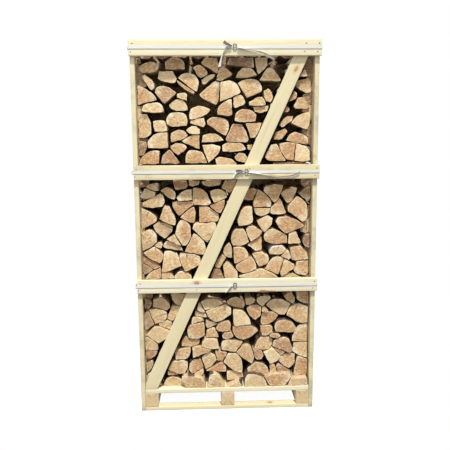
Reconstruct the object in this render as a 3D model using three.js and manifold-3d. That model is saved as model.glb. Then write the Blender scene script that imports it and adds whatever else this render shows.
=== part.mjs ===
// Tall slatted crate of split firewood on a pallet, the log ends facing front and back.
// Millimetres, +Z up, front towards -Y, origin on the ground at the middle of the crate.
import * as THREE from 'three';
import { mergeVertices } from 'three/addons/utils/BufferGeometryUtils.js';
import Module from 'manifold-3d';

const wasm = await Module();
wasm.setup();

// Driving dimensions of the crate
const HALF_WIDTH = 500;
const HALF_DEPTH = 400;
const BOARD = 22;
// What stands or lies on another piece keeps this gap to it
const TOUCH = 0.3;
const UPRIGHT = { thickness: 25, depth: 80, height: 2066 };
const INNER_X = HALF_WIDTH - UPRIGHT.thickness;

// Pallet: boards on the ground, stringers that run front to back, and the deck
const BOTTOM_BOARD = { depth: 50, thickness: 22 };
const STRINGER_HEIGHT = 84;
const STRINGERS = { left: [-475, -401], middle: [-37, 41], right: [401, 475] };
const DECK = { count: 6, depth: 104, thickness: 26, endGap: 1 };
const DECK_TOP = BOTTOM_BOARD.thickness + STRINGER_HEIGHT + DECK.thickness;

// Rails across the front and the back: their lower edges, heights and ends
const RAILS = {
  lower: { z: 712, height: 76, ends: [-500, 507] },
  middle: { z: 1343, height: 78, ends: [-497, 507] },
  upper: { z: 1987, height: 84, ends: [-503, 506] },
};
const SIDE_SLAT = { height: 76, thickness: 18, reach: 345, centres: [430, 750, 1070, 1382, 1700, 2028] };
// The brace is a tapered board: the ends of its foot on the deck and of its head
const BRACE = { foot: [-488, -405], head: [393, 472], top: 2058, side: 474 };

// Logs: three rows of short split logs, one behind the other
const LOG = { length: 236, rowPitch: 240, front: -360, relief: 32, bite: 2, gap: 3 };
const SMALLEST_END = { seen: 300, hidden: 1200 };
// Two waves that never line up set how far each log's end stands out of its neighbours
const UNEVEN = [{ reach: 7, turn: 2.4 }, { reach: 4, turn: 5.1 }];
const FORWARD = { front: -396, rise: 15, foot: 20, left: -325 };
const STACK = { side: 450, bottom: DECK_TOP + TOUCH, top: 2032, loose: 14, reach: 471 };
const BARK_STEP = 36;
// The shortest side of a log, and how far a corner stands out at least
const FINEST = { side: 8, corner: 3 };

// Strapping
const STRAP = { width: 16, thickness: 0.8, cornerRadius: 0.8 };
const BUCKLE = { width: 21, height: 37, wire: 3.2, lift: 0.4 };
const BUCKLE_PLACES = { lower: [45, 750], middle: [110, 1381], upper: [50, 2028] };
const BEND_STEPS = 3;
// Loose strap ends: the points that the band's middle line passes, away from its buckle
const TAIL_STEPS = 16;
const TAILS = {
  strap_tail_upper_right: [[65, 2026], [128, 2014], [191, 1999], [254, 1969]],
  strap_tail_upper_left: [[34, 2031], [4, 2024], [-14, 1994], [-31, 1929]],
  strap_tail_middle_right: [[126, 1381], [193, 1371], [264, 1360], [345, 1359], [399, 1378]],
  strap_tail_middle_left: [[94, 1383], [78, 1388], [52, 1376], [37, 1351]],
  strap_tail_lower: [[29, 752], [14, 742], [-8, 716]],
};

const sawnWood = new THREE.MeshStandardMaterial({ color: 0xe6d6ac, roughness: 0.8, metalness: 0 });
const splitWood = new THREE.MeshStandardMaterial({ color: 0xcda47a, roughness: 0.9, metalness: 0 });
const strapPlastic = new THREE.MeshStandardMaterial({ color: 0xeeeeea, roughness: 0.45, metalness: 0 });
const wireSteel = new THREE.MeshStandardMaterial({ color: 0x8d9092, roughness: 0.4, metalness: 1 });

// The split logs of the front row as seen from the front, tier by tier from the deck up.
// A log is a list of its corners across and up; a third number is how far the bark side
// that starts at that corner bulges out of the straight line to the next one.
const FRONT_LOGS = [
  // On the deck
  [[-470, 205], [-440, 235], [-398, 148], [-380, 134], [-470, 134]],
  [[-378, 136], [-358, 176, 10], [-285, 184, 5], [-250, 134]],
  [[-262, 195], [-218, 192], [-150, 183, 6], [-124, 134], [-244, 134], [-270, 160]],
  [[-118, 134], [-102, 199, 6], [-60, 200], [-10, 134]],
  [[-4, 134], [-6, 152], [68, 155], [92, 134]],
  [[102, 134], [98, 170], [118, 196], [188, 192, 8], [232, 134]],
  [[212, 182], [248, 190], [300, 197], [360, 198], [376, 178], [338, 140], [248, 134], [234, 150]],
  [[350, 134], [372, 165], [400, 159], [445, 168], [464, 168], [470, 134]],
  // Second tier
  [[-474, 278], [-432, 292], [-428, 262], [-466, 203]],
  [[-345, 222], [-318, 218], [-286, 202], [-290, 194], [-350, 197]],
  [[-318, 284], [-240, 288], [-226, 276], [-230, 240], [-252, 207], [-286, 204], [-342, 236]],
  [[-222, 262], [-196, 290], [-152, 292], [-140, 240], [-176, 222], [-205, 198], [-222, 228]],
  [[-145, 232], [-136, 212], [-152, 188], [-174, 186], [-193, 202]],
  [[-122, 220], [-100, 233], [-60, 250], [-28, 272], [-4, 240], [-6, 216]],
  [[-4, 212], [38, 216], [88, 198], [98, 172], [80, 159], [0, 157]],
  [[-25, 278], [0, 305], [0, 328], [52, 330, 8], [92, 250], [88, 203], [42, 218], [8, 244]],
  [[112, 200], [118, 232], [150, 252], [166, 270, 16], [244, 220], [246, 190], [215, 176], [190, 193]],
  [[250, 200], [252, 258], [280, 262], [285, 240], [300, 204], [300, 198]],
  [[284, 228], [287, 250], [300, 262], [350, 222], [380, 202], [302, 200]],
  [[296, 278], [318, 304], [345, 312], [372, 318], [400, 310], [402, 256], [368, 222], [345, 225]],
  [[405, 304], [436, 288], [470, 283], [470, 185], [448, 172], [405, 164], [386, 182], [404, 250]],
  // Third tier
  [[-470, 353], [-402, 353], [-408, 328], [-440, 300], [-468, 306]],
  [[-300, 352], [-255, 358], [-212, 364], [-210, 330], [-226, 304], [-240, 295], [-300, 291]],
  [[-198, 306], [-202, 365], [-175, 374], [-150, 369], [-92, 350], [-105, 340], [-160, 318]],
  [[-148, 300], [-125, 330], [-108, 337], [-70, 314], [-58, 284], [-105, 235], [-126, 226]],
  [[-66, 318], [-66, 343], [-38, 334], [-2, 330], [-2, 306], [-26, 280], [-57, 283]],
  [[54, 332], [70, 350], [96, 374, 4], [122, 373], [146, 352], [158, 298], [148, 255], [98, 290]],
  [[150, 352], [202, 337], [214, 312], [206, 284], [178, 278], [162, 297]],
  [
    [212, 330], [255, 345], [264, 358], [300, 320], [315, 303], [298, 282], [270, 262], [250, 262],
    [230, 298],
  ],
  [[268, 360], [300, 345], [345, 328], [336, 318], [318, 306], [290, 335]],
  [[378, 332], [388, 350], [385, 380], [470, 384], [470, 291], [436, 293], [402, 313]],
  // Fourth tier
  [[-472, 356], [-474, 440], [-450, 432], [-400, 393], [-400, 356]],
  [[-264, 372], [-264, 402], [-238, 434], [-218, 414], [-158, 414], [-162, 382], [-205, 368]],
  [[-148, 372], [-142, 398], [-126, 417, 5], [-56, 411], [-44, 360], [-100, 357]],
  [[-30, 348], [-37, 372], [-28, 400], [-8, 412], [50, 408], [92, 397], [66, 353], [52, 334]],
  [
    [168, 376], [178, 405], [200, 418], [245, 420], [270, 405], [262, 368], [245, 344], [205, 340],
    [160, 353],
  ],
  [
    [272, 402], [300, 417, 8], [362, 410], [378, 372], [386, 345], [370, 322], [345, 333], [300, 348],
    [265, 366],
  ],
  [[405, 480], [440, 498], [470, 500], [470, 390], [378, 390], [380, 430], [392, 452]],
  // Fifth tier
  [[-460, 448], [-430, 487, 8], [-392, 496], [-328, 469, 8], [-352, 424], [-396, 395], [-434, 416]],
  [[-224, 488], [-205, 512], [-132, 521], [-127, 440], [-160, 421], [-216, 420], [-230, 450]],
  [[-119, 425], [-118, 468], [-100, 480], [-74, 484], [-58, 455], [-50, 424]],
  [[-28, 430], [-12, 450], [22, 454], [37, 432], [28, 418], [-20, 414]],
  [[34, 490], [100, 494], [142, 492], [182, 459], [148, 440], [130, 415], [96, 402], [60, 415], [32, 452]],
  [[197, 486], [250, 491], [266, 472], [262, 445], [245, 432], [206, 429], [196, 450]],
  [[250, 440], [300, 442], [312, 430], [290, 418], [264, 421], [249, 428]],
  // Sixth tier
  [[-392, 511], [-345, 530], [-316, 522], [-320, 474], [-350, 484], [-386, 498]],
  [[-472, 560, 6], [-449, 592], [-430, 550], [-418, 512], [-448, 485], [-474, 470]],
  [[-445, 596], [-400, 603], [-346, 588], [-338, 574], [-345, 540], [-368, 524], [-413, 511], [-426, 545]],
  [[-342, 545], [-324, 600], [-316, 612], [-262, 618], [-262, 600], [-306, 530], [-326, 529]],
  [[-200, 549], [-183, 557], [-142, 543], [-128, 530], [-168, 526], [-205, 509]],
  [[-120, 528], [-62, 513], [-50, 505], [-84, 488], [-110, 479], [-122, 490]],
  [[-60, 492], [-33, 524], [10, 526], [25, 500], [18, 460], [-48, 458], [-66, 476]],
  [[38, 500], [38, 590], [92, 586, 6], [138, 520], [142, 498], [100, 494], [50, 486]],
  [
    [202, 572], [240, 566], [265, 576], [298, 551], [285, 525], [258, 503], [240, 494], [204, 492],
    [196, 520],
  ],
  [[278, 508, 14], [345, 524, 12], [402, 480], [394, 450], [375, 448], [285, 453], [274, 490]],
  // Seventh tier
  [[-468, 664], [-448, 660], [-428, 640], [-433, 620], [-445, 603], [-468, 610]],
  [[-422, 612], [-420, 656, 5], [-362, 664], [-328, 633], [-325, 606], [-345, 592], [-400, 604]],
  [[-165, 625], [-157, 640], [-136, 604], [-125, 578], [-150, 575], [-168, 592]],
  [[-182, 587], [-168, 582], [-128, 572], [-110, 556], [-114, 546], [-142, 546], [-184, 558]],
  [[-150, 640, 24], [-18, 632], [-42, 616], [-64, 602], [-128, 592], [-140, 618]],
  [
    [-126, 588], [-62, 599], [-14, 627], [26, 602], [24, 566], [4, 547], [-28, 526], [-60, 517],
    [-108, 545],
  ],
  [[0, 640, 24], [102, 642], [103, 607], [96, 596], [40, 606], [6, 622]],
  [[116, 598], [122, 606, 12], [198, 605], [200, 556], [166, 529], [150, 534], [126, 560]],
  [[110, 615], [110, 652], [142, 661], [166, 646], [160, 628], [126, 613]],
  [[174, 655], [190, 664, 6], [248, 666], [254, 646], [232, 634], [220, 610], [205, 606], [172, 632]],
  [[204, 603], [218, 604], [240, 584], [236, 572], [203, 576]],
  [
    [228, 612], [240, 640], [268, 650], [322, 648], [370, 620], [352, 586], [337, 551], [312, 548],
    [250, 590],
  ],
  [
    [346, 552], [356, 584], [376, 604], [394, 620], [412, 626], [470, 600], [470, 505], [416, 504],
    [400, 532],
  ],
  // Against the lower rail
  [[-320, 688], [-226, 688], [-254, 626], [-268, 618], [-290, 628], [-312, 655]],
  [[330, 662], [356, 685], [378, 680], [392, 662], [394, 644], [385, 614], [372, 625], [345, 642]],
  [[400, 655], [400, 690], [468, 690], [470, 626], [450, 622], [410, 642]],
  // On top of the lower rail's tier
  [[-460, 778], [-446, 806], [-410, 830], [-374, 840], [-370, 800], [-373, 778]],
  [[-370, 778], [-370, 815], [-340, 815], [-312, 808], [-296, 779]],
  [[-297, 790, 26], [-205, 800], [-197, 776], [-292, 774]],
  [[-92, 776], [-70, 834], [-42, 838], [-22, 800], [-14, 776]],
  [[-20, 850], [10, 877], [36, 852], [70, 812], [72, 776], [-8, 776]],
  [[60, 786], [72, 776], [160, 776], [170, 822], [195, 831], [230, 820], [272, 801], [296, 778], [90, 774]],
  [[314, 782], [345, 802], [380, 800], [400, 790], [444, 778], [440, 771], [314, 771]],
  // Eighth tier
  [[-470, 872], [-442, 852], [-412, 832], [-448, 810], [-468, 803]],
  [[-470, 912], [-430, 892], [-405, 872], [-380, 860], [-370, 843], [-412, 834], [-442, 856], [-470, 876]],
  [
    [-348, 940], [-322, 946], [-274, 926], [-270, 882], [-251, 853], [-290, 841], [-345, 818],
    [-368, 822], [-352, 905],
  ],
  [
    [-262, 930], [-200, 925], [-150, 908], [-142, 880], [-148, 858], [-200, 836], [-234, 816],
    [-246, 845], [-264, 885],
  ],
  [[-62, 860], [-22, 924], [0, 900], [-38, 836], [-66, 838]],
  [[55, 860], [120, 887], [140, 904], [164, 880], [170, 830, 14], [75, 812, 6], [50, 845]],
  [
    [144, 908], [166, 925], [198, 922], [240, 900], [244, 860], [205, 842], [186, 840], [174, 850],
    [168, 880],
  ],
  [[246, 888], [290, 905], [328, 890], [302, 806], [296, 794], [256, 813], [210, 832], [242, 852]],
  [[332, 889], [350, 872], [385, 856], [384, 830], [345, 806], [314, 785], [306, 800]],
  [[392, 842], [400, 868], [468, 872], [470, 800], [454, 782], [402, 792], [386, 812]],
  // Ninth tier
  [[-470, 930], [-430, 955], [-400, 968], [-366, 945], [-353, 915], [-362, 882], [-378, 868], [-430, 898]],
  [[-404, 970], [-382, 985], [-362, 985], [-352, 972], [-368, 955], [-384, 956]],
  [[-350, 988], [-330, 1000], [-300, 993], [-254, 962], [-242, 938], [-300, 948], [-345, 955], [-360, 970]],
  [[-335, 1009], [-300, 1031], [-286, 1026], [-252, 976], [-256, 967], [-298, 995], [-328, 1002]],
  [
    [-186, 1040], [-172, 1038], [-130, 1002], [-114, 970], [-116, 930], [-132, 912], [-180, 925],
    [-238, 931], [-200, 990],
  ],
  [[-20, 938], [-5, 965], [14, 984], [30, 968], [34, 895], [8, 896], [-18, 915]],
  [[40, 955], [92, 957, 5], [126, 920], [120, 889], [68, 867], [46, 862]],
  [[140, 950], [122, 966], [136, 975], [165, 992], [198, 1018], [202, 990], [202, 941], [166, 931]],
  [[242, 924], [256, 950], [285, 960], [318, 960], [344, 936], [328, 916], [300, 912], [246, 912]],
  [[306, 908], [322, 926], [352, 934], [362, 918], [366, 890], [350, 875], [320, 890]],
  [[362, 926], [362, 950], [425, 957], [458, 922], [466, 882], [390, 872], [372, 882]],
  // Tenth tier
  [[-472, 1035], [-445, 1064, 6], [-400, 1054], [-386, 1028], [-387, 994], [-430, 958], [-470, 940]],
  [
    [-408, 1085], [-378, 1102], [-345, 1098], [-298, 1078], [-300, 1050], [-346, 1008], [-380, 1032],
    [-400, 1060],
  ],
  [
    [-272, 1098], [-254, 1117], [-225, 1108], [-200, 1084], [-196, 1010], [-226, 970], [-246, 968],
    [-286, 1035],
  ],
  [
    [-190, 1066], [-180, 1091], [-150, 1096], [-60, 1100], [-52, 1080], [-70, 1035], [-106, 984],
    [-142, 1020],
  ],
  [[24, 995], [38, 1048], [60, 1062], [96, 1062], [108, 1045], [131, 984], [94, 964], [38, 964]],
  [[112, 1060], [128, 1077], [150, 1075], [204, 1045], [197, 1027], [160, 1003], [139, 986], [118, 1030]],
  [[212, 1008], [216, 1044], [262, 1062], [300, 1045], [345, 1019], [346, 974], [262, 970], [222, 984]],
  [[351, 1020], [358, 1044], [396, 1041], [407, 1010], [422, 974], [351, 972]],
  [[430, 1000], [444, 1028], [470, 1030], [470, 945], [446, 956], [431, 980]],
  // Eleventh tier
  [[-470, 1188], [-430, 1166], [-402, 1150], [-384, 1130], [-388, 1108], [-446, 1073], [-472, 1062]],
  [[-340, 1196], [-315, 1195, 4], [-278, 1108], [-283, 1085], [-306, 1087], [-350, 1111], [-372, 1122]],
  [
    [-258, 1128], [-246, 1140], [-202, 1178], [-178, 1188], [-171, 1160], [-173, 1106], [-182, 1096],
    [-226, 1110],
  ],
  [
    [-150, 1188], [-102, 1190], [-74, 1167], [-42, 1149], [-38, 1120], [-50, 1104], [-90, 1108],
    [-148, 1099],
  ],
  [[62, 1108], [86, 1172], [100, 1184], [146, 1189], [149, 1130], [149, 1100], [124, 1081], [72, 1079]],
  [
    [172, 1104], [200, 1112], [235, 1138], [262, 1118], [258, 1086], [246, 1056], [222, 1032],
    [206, 1048], [180, 1085],
  ],
  [
    [274, 1102], [290, 1124], [342, 1127], [385, 1114], [425, 1090], [444, 1066], [400, 1048],
    [348, 1026], [305, 1054],
  ],
  // Twelfth tier
  [
    [-465, 1218], [-432, 1226], [-395, 1244], [-368, 1264], [-345, 1254], [-338, 1220],
    [-352, 1192, 10], [-462, 1195],
  ],
  [
    [-298, 1220], [-275, 1212], [-185, 1220], [-182, 1198], [-205, 1181], [-248, 1143], [-262, 1136],
    [-296, 1178],
  ],
  [[-92, 1195], [-58, 1206], [-8, 1231], [-6, 1200], [-30, 1152], [-48, 1154], [-74, 1176]],
  [[156, 1175], [248, 1176, 6], [230, 1142, 10], [174, 1138, 6]],
  [[246, 1150], [252, 1182], [270, 1204], [298, 1236], [315, 1198], [337, 1152], [330, 1143], [262, 1138]],
  [
    [392, 1244], [408, 1240], [452, 1198], [458, 1150], [452, 1106], [430, 1098], [386, 1126],
    [349, 1156], [346, 1190], [370, 1208],
  ],
  // Thirteenth tier
  [[-470, 1262], [-448, 1292], [-412, 1276], [-390, 1271], [-393, 1250], [-426, 1232], [-470, 1240]],
  [[-362, 1280, 22], [-282, 1275], [-276, 1246], [-286, 1229], [-310, 1235], [-345, 1262]],
  [[-272, 1240], [-245, 1274], [-215, 1285], [-190, 1285], [-187, 1228], [-222, 1223], [-262, 1216]],
  [[-184, 1226], [-184, 1290], [-162, 1297, 4], [-102, 1262], [-83, 1206], [-100, 1195], [-178, 1198]],
  [[-90, 1274], [-60, 1286], [-25, 1284], [4, 1262], [5, 1240], [-52, 1209], [-66, 1212], [-84, 1250]],
  [[98, 1226], [118, 1285], [150, 1290], [173, 1278], [150, 1223], [110, 1222]],
  [[180, 1275, 12], [256, 1210], [250, 1184], [156, 1182], [153, 1212]],
  [
    [208, 1274], [216, 1295], [268, 1305], [316, 1304], [317, 1288], [300, 1260], [282, 1213],
    [268, 1207], [236, 1250],
  ],
  [[308, 1258], [330, 1278], [396, 1291], [398, 1278], [388, 1252], [366, 1210], [340, 1202], [324, 1226]],
  [[408, 1255], [440, 1287], [470, 1300], [470, 1232], [457, 1210], [430, 1232]],
  // Against the middle rail
  [[-440, 1301], [-428, 1315, 5], [-382, 1314], [-370, 1278], [-390, 1280], [-412, 1283]],
  [[-292, 1335], [-214, 1335], [-212, 1300], [-225, 1288], [-250, 1286], [-276, 1282], [-286, 1300]],
  [[-205, 1334], [-146, 1334], [-150, 1312], [-180, 1303], [-202, 1308]],
  [[-135, 1328], [-118, 1334], [-22, 1334], [-32, 1310], [-80, 1299], [-110, 1303], [-130, 1315]],
  [[-22, 1292], [0, 1332], [62, 1334], [48, 1300], [24, 1262], [6, 1274]],
  // On top of the middle rail's tier
  [[-470, 1425], [-466, 1450], [-430, 1490], [-398, 1500], [-361, 1497], [-365, 1427]],
  [[-355, 1430], [-345, 1475], [-310, 1502], [-298, 1497], [-252, 1432], [-262, 1426]],
  [[-222, 1430], [-218, 1480], [-198, 1500, 6], [-128, 1490], [-101, 1430]],
  [[-58, 1452], [-40, 1462], [20, 1455], [38, 1447], [60, 1424], [58, 1414], [-50, 1414], [-44, 1430]],
  [[50, 1458], [72, 1484], [98, 1482], [120, 1461], [108, 1432], [62, 1438]],
  [[216, 1456], [228, 1492], [250, 1529], [282, 1530], [296, 1494], [314, 1456], [334, 1439], [240, 1436]],
  [[256, 1405], [262, 1428], [330, 1425], [395, 1432], [450, 1425], [455, 1405]],
  [[300, 1500], [296, 1530], [325, 1540], [386, 1535], [378, 1462], [372, 1442], [340, 1442], [318, 1462]],
  [[390, 1534], [440, 1520], [462, 1494], [466, 1440], [454, 1433], [379, 1436], [383, 1470]],
  // Fourteenth tier
  [[-470, 1552], [-434, 1548], [-429, 1530], [-431, 1505], [-448, 1476], [-470, 1472]],
  [[-422, 1512], [-425, 1545], [-395, 1580], [-375, 1594], [-316, 1596], [-314, 1512], [-368, 1515]],
  [
    [-302, 1524], [-265, 1539], [-225, 1534], [-212, 1515], [-220, 1500], [-245, 1480], [-260, 1473],
    [-300, 1506],
  ],
  [[-188, 1580], [-143, 1582], [-143, 1506], [-165, 1515], [-214, 1535], [-238, 1550], [-205, 1571]],
  [
    [-128, 1527], [-78, 1532], [-28, 1520], [-29, 1492], [-60, 1458], [-78, 1441], [-94, 1427],
    [-106, 1455],
  ],
  [[-18, 1490], [-19, 1524], [10, 1537], [85, 1536, 4], [113, 1502], [70, 1490]],
  [[118, 1524], [146, 1528], [136, 1497], [120, 1505]],
  [[328, 1546], [352, 1582], [380, 1596, 6], [450, 1566], [456, 1530], [440, 1524], [392, 1539]],
  // Fifteenth tier
  [[-468, 1697], [-425, 1695, 12], [-402, 1590], [-432, 1567], [-468, 1567]],
  [[-390, 1654], [-370, 1662], [-333, 1659], [-324, 1638], [-314, 1616], [-318, 1602], [-384, 1600]],
  [[-296, 1592], [-268, 1608], [-232, 1609], [-203, 1586], [-206, 1575], [-240, 1557], [-297, 1543]],
  [[-213, 1606, 24], [-139, 1610], [-139, 1588], [-188, 1585]],
  [[-132, 1541], [-122, 1578, 24], [-8, 1552], [-32, 1545], [-80, 1541]],
  [
    [42, 1640], [92, 1639], [112, 1600], [128, 1555], [116, 1538], [85, 1542], [8, 1546], [0, 1560],
    [26, 1600],
  ],
  [[112, 1641], [196, 1644], [184, 1600], [160, 1566], [138, 1563]],
  [[262, 1552], [276, 1594], [325, 1611], [340, 1598], [320, 1568], [300, 1553]],
  // Sixteenth tier
  [[-318, 1640], [-322, 1668, 12], [-262, 1706, 16], [-203, 1665], [-209, 1630], [-300, 1627]],
  [[-190, 1645], [-190, 1658], [-142, 1667], [-116, 1674], [-109, 1640], [-118, 1623], [-150, 1631]],
  [
    [-100, 1658], [-72, 1679], [-22, 1675], [12, 1660], [22, 1636], [18, 1600], [2, 1577], [-30, 1593],
    [-98, 1640],
  ],
  [[50, 1656], [58, 1700], [85, 1719, 3], [150, 1710], [169, 1686], [164, 1653], [90, 1646]],
  [[302, 1650], [340, 1681], [368, 1677], [364, 1656], [340, 1639], [308, 1619], [296, 1630]],
  [[359, 1642], [385, 1671], [418, 1694], [460, 1700], [462, 1640], [448, 1608], [425, 1614], [390, 1626]],
  // Seventeenth tier
  [[-450, 1712], [-440, 1740, 5], [-362, 1756], [-335, 1738], [-329, 1708], [-345, 1701], [-440, 1704]],
  [[-305, 1745], [-270, 1771], [-232, 1771], [-209, 1750], [-203, 1714], [-262, 1708], [-300, 1728]],
  [[-196, 1690], [-188, 1722, 16], [-80, 1718], [-88, 1701], [-125, 1682], [-150, 1669], [-193, 1664]],
  [[-45, 1708], [-30, 1739], [0, 1761], [34, 1771], [38, 1720], [37, 1688], [18, 1682], [-42, 1689]],
  [[44, 1780], [84, 1796], [98, 1784], [108, 1750], [100, 1739], [52, 1724], [44, 1738]],
  [[126, 1754], [170, 1778], [198, 1784], [215, 1760], [217, 1742], [205, 1734], [168, 1734], [130, 1739]],
  [[150, 1730], [208, 1731], [235, 1737], [229, 1706, 8], [158, 1704]],
  [[372, 1733], [394, 1777], [428, 1777], [445, 1745], [458, 1726], [446, 1717], [380, 1721]],
  [[322, 1700], [330, 1737], [348, 1716], [345, 1704]],
  // Eighteenth tier
  [
    [-470, 1845], [-455, 1842], [-400, 1812], [-377, 1792], [-368, 1770], [-400, 1760], [-440, 1748],
    [-470, 1742],
  ],
  [
    [-378, 1805], [-370, 1829], [-348, 1841], [-308, 1838], [-263, 1805], [-310, 1759], [-328, 1749],
    [-371, 1794],
  ],
  [[-257, 1799], [-225, 1808], [-206, 1799], [-206, 1762], [-232, 1777], [-262, 1779]],
  [
    [-138, 1795], [-110, 1822], [-80, 1850], [-50, 1867], [-28, 1860], [-30, 1800], [-36, 1760],
    [-50, 1743], [-130, 1778],
  ],
  [[-24, 1860], [0, 1868], [24, 1871], [48, 1862, 6], [84, 1808], [78, 1797], [0, 1766], [-30, 1758]],
  [
    [69, 1854], [108, 1875], [150, 1879], [182, 1864], [202, 1835], [198, 1809], [155, 1791],
    [120, 1780], [102, 1800],
  ],
  [[208, 1812], [230, 1824], [250, 1810], [258, 1775], [245, 1752], [222, 1758], [208, 1792]],
  [[346, 1762], [372, 1811], [388, 1798], [385, 1776], [356, 1757]],
  [[385, 1842], [392, 1869], [452, 1879], [464, 1867], [464, 1803], [438, 1803], [402, 1819]],
  // Nineteenth tier
  [[-445, 1888], [-425, 1899, 4], [-380, 1855], [-379, 1830], [-393, 1820], [-405, 1830]],
  [
    [-358, 1880], [-353, 1917], [-278, 1917], [-268, 1892], [-255, 1872], [-262, 1859], [-290, 1856],
    [-322, 1862],
  ],
  [[-252, 1882, 20], [-160, 1898, 8], [-140, 1838], [-152, 1811], [-162, 1813]],
  [[-262, 1872], [-164, 1808], [-168, 1797], [-205, 1815], [-250, 1850]],
  [[-127, 1874], [-90, 1899], [-53, 1901], [-56, 1890], [-85, 1866], [-112, 1849], [-124, 1852]],
  [[-42, 1900], [-28, 1934], [0, 1939], [38, 1903], [30, 1890], [-5, 1880], [-25, 1866], [-47, 1870]],
  [[56, 1882, 52], [174, 1895], [110, 1882]],
  [[184, 1870, 64], [300, 1872], [298, 1864]],
  [[398, 1886], [425, 1928], [444, 1888]],
  // Under the top rail
  [[-460, 1928], [-445, 1953, 8], [-375, 1965], [-350, 1941], [-356, 1926], [-385, 1913], [-445, 1909]],
  [[-320, 1928], [-318, 1968], [-290, 1986], [-240, 1986], [-215, 1960], [-215, 1928]],
  [[-171, 1934], [-146, 1949], [-119, 1944], [-96, 1915], [-95, 1896], [-130, 1880], [-149, 1898]],
  [[-128, 1960], [-110, 1986], [-42, 1986], [-32, 1946], [-40, 1906], [-62, 1916], [-100, 1942]],
  [[8, 1946], [24, 1986], [150, 1986], [156, 1930], [140, 1938], [104, 1948], [58, 1940]],
  [[160, 1986], [226, 1986], [228, 1944], [196, 1924], [182, 1900], [170, 1914]],
  [[-470, 1960], [-468, 1986], [-452, 1986], [-447, 1962], [-458, 1950]],
];

// Logs that the rails and the brace hide: runs of plain logs from one point to another
const HIDDEN_RUNS = [
  { from: [-425, 733], to: [430, 733], count: 10, size: [88, 74] },
  { from: [-425, 1379], to: [430, 1379], count: 10, size: [88, 74] },
  { from: [-425, 2004], to: [430, 2004], count: 10, size: [86, 50] },
  { from: [-398, 230], to: [360, 1900], count: 20, size: [84, 84] },
];

// Small plane geometry
const dot = (a, b) => a[0] * b[0] + a[1] * b[1];
const minus = (a, b) => [a[0] - b[0], a[1] - b[1]];
const area = (outline) =>
  outline.reduce((sum, p, i) => {
    const q = outline[(i + 1) % outline.length];
    return sum + (p[0] * q[1] - q[0] * p[1]) / 2;
  }, 0);

// Keep the side of an outline where the distance along the normal is at most the limit
function clip(outline, normal, limit) {
  const kept = [];
  outline.forEach((p, i) => {
    const q = outline[(i + 1) % outline.length];
    const a = dot(p, normal) - limit;
    const b = dot(q, normal) - limit;
    if (a <= 0) kept.push(p);
    if (a * b < 0) kept.push([p[0] + ((q[0] - p[0]) * a) / (a - b), p[1] + ((q[1] - p[1]) * a) / (a - b)]);
  });
  return kept;
}

// Points of the bark side from p to q that bulges away from the log's middle
function barkSide(p, q, bulge, middle) {
  const along = minus(q, p);
  const length = Math.hypot(...along);
  const side = [along[1] / length, -along[0] / length];
  const out = dot(minus(p, middle), side) > 0 ? side : [-side[0], -side[1]];
  const steps = Math.max(2, Math.round((length + 2 * bulge) / BARK_STEP));
  return Array.from({ length: steps }, (_, i) => {
    const t = i / steps;
    const rise = 4 * bulge * t * (1 - t);
    return [p[0] + along[0] * t + out[0] * rise, p[1] + along[1] * t + out[1] * rise];
  });
}

// Convex outline, anticlockwise, around a log's corners and bark sides
function logOutline(corners) {
  const middle = [0, 1].map((k) => corners.reduce((sum, c) => sum + c[k], 0) / corners.length);
  const points = corners.flatMap((c, i) => {
    const next = corners[(i + 1) % corners.length];
    return c[2] ? barkSide(c, next, c[2], middle) : [[c[0], c[1]]];
  });
  return convexHull(points);
}

function convexHull(points) {
  const sorted = [...points].sort((a, b) => a[0] - b[0] || a[1] - b[1]);
  const chain = (list) => {
    const hull = [];
    for (const p of list) {
      while (hull.length > 1 && area([hull[hull.length - 2], hull[hull.length - 1], p]) <= 0) hull.pop();
      hull.push(p);
    }
    return hull.slice(0, -1);
  };
  return [...chain(sorted), ...chain(sorted.reverse())];
}

// The line that parts two outlines with the least cut, taken along one of their sides
function partingLine(a, b) {
  let best = null;
  for (const [own, other] of [[a, b], [b, a]]) {
    for (let i = 0; i < own.length; i += 1) {
      const along = minus(own[(i + 1) % own.length], own[i]);
      const length = Math.hypot(...along);
      const normal = [along[1] / length, -along[0] / length];
      const edge = dot(own[i], normal);
      const nearest = Math.min(...other.map((p) => dot(p, normal)));
      if (!best || edge - nearest < best.depth) best = { normal, edge, nearest, depth: edge - nearest, own };
    }
  }
  return best;
}

const flip = (normal) => [-normal[0], -normal[1]];

// Part two logs so that a gap is left; a fixed first one isn't cut
function part(a, b, firstIsFixed) {
  const line = partingLine(a, b);
  if (line.depth <= -LOG.gap) return [a, b];
  const near = line.own === a ? line.edge : -line.edge;
  const normal = line.own === a ? line.normal : flip(line.normal);
  const far = line.own === a ? line.nearest : -line.nearest;
  const wall = firstIsFixed ? Math.max(...a.map((p) => dot(p, normal))) + LOG.gap / 2 : (near + far) / 2;
  const first = firstIsFixed ? a : clip(a, normal, wall - LOG.gap / 2);
  return [first, clip(b, flip(normal), -(wall + LOG.gap / 2))];
}

// Leave out the flattest corner or the one after the shortest side, until all that is left counts
function tidy(outline) {
  const kept = [...outline];
  for (;;) {
    const weight = kept.map((p, i) => {
      const before = kept[(i + kept.length - 1) % kept.length];
      const after = kept[(i + 1) % kept.length];
      const span = Math.hypot(...minus(after, before)) || 1;
      const out = Math.abs(area([before, p, after])) * 2 / span;
      return Math.min(out / FINEST.corner, Math.hypot(...minus(p, before)) / FINEST.side);
    });
    const least = weight.indexOf(Math.min(...weight));
    if (kept.length < 4 || weight[least] > 1) return kept;
    kept.splice(least, 1);
  }
}

const within = (outline) =>
  [[[1, 0], STACK.reach], [[-1, 0], STACK.reach], [[0, 1], STACK.top], [[0, -1], -STACK.bottom]].reduce(
    (kept, [normal, limit]) => clip(kept, normal, limit),
    outline,
  );

const rectangle = (left, right, low, high) => [[left, low], [right, low], [right, high], [left, high]];

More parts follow.
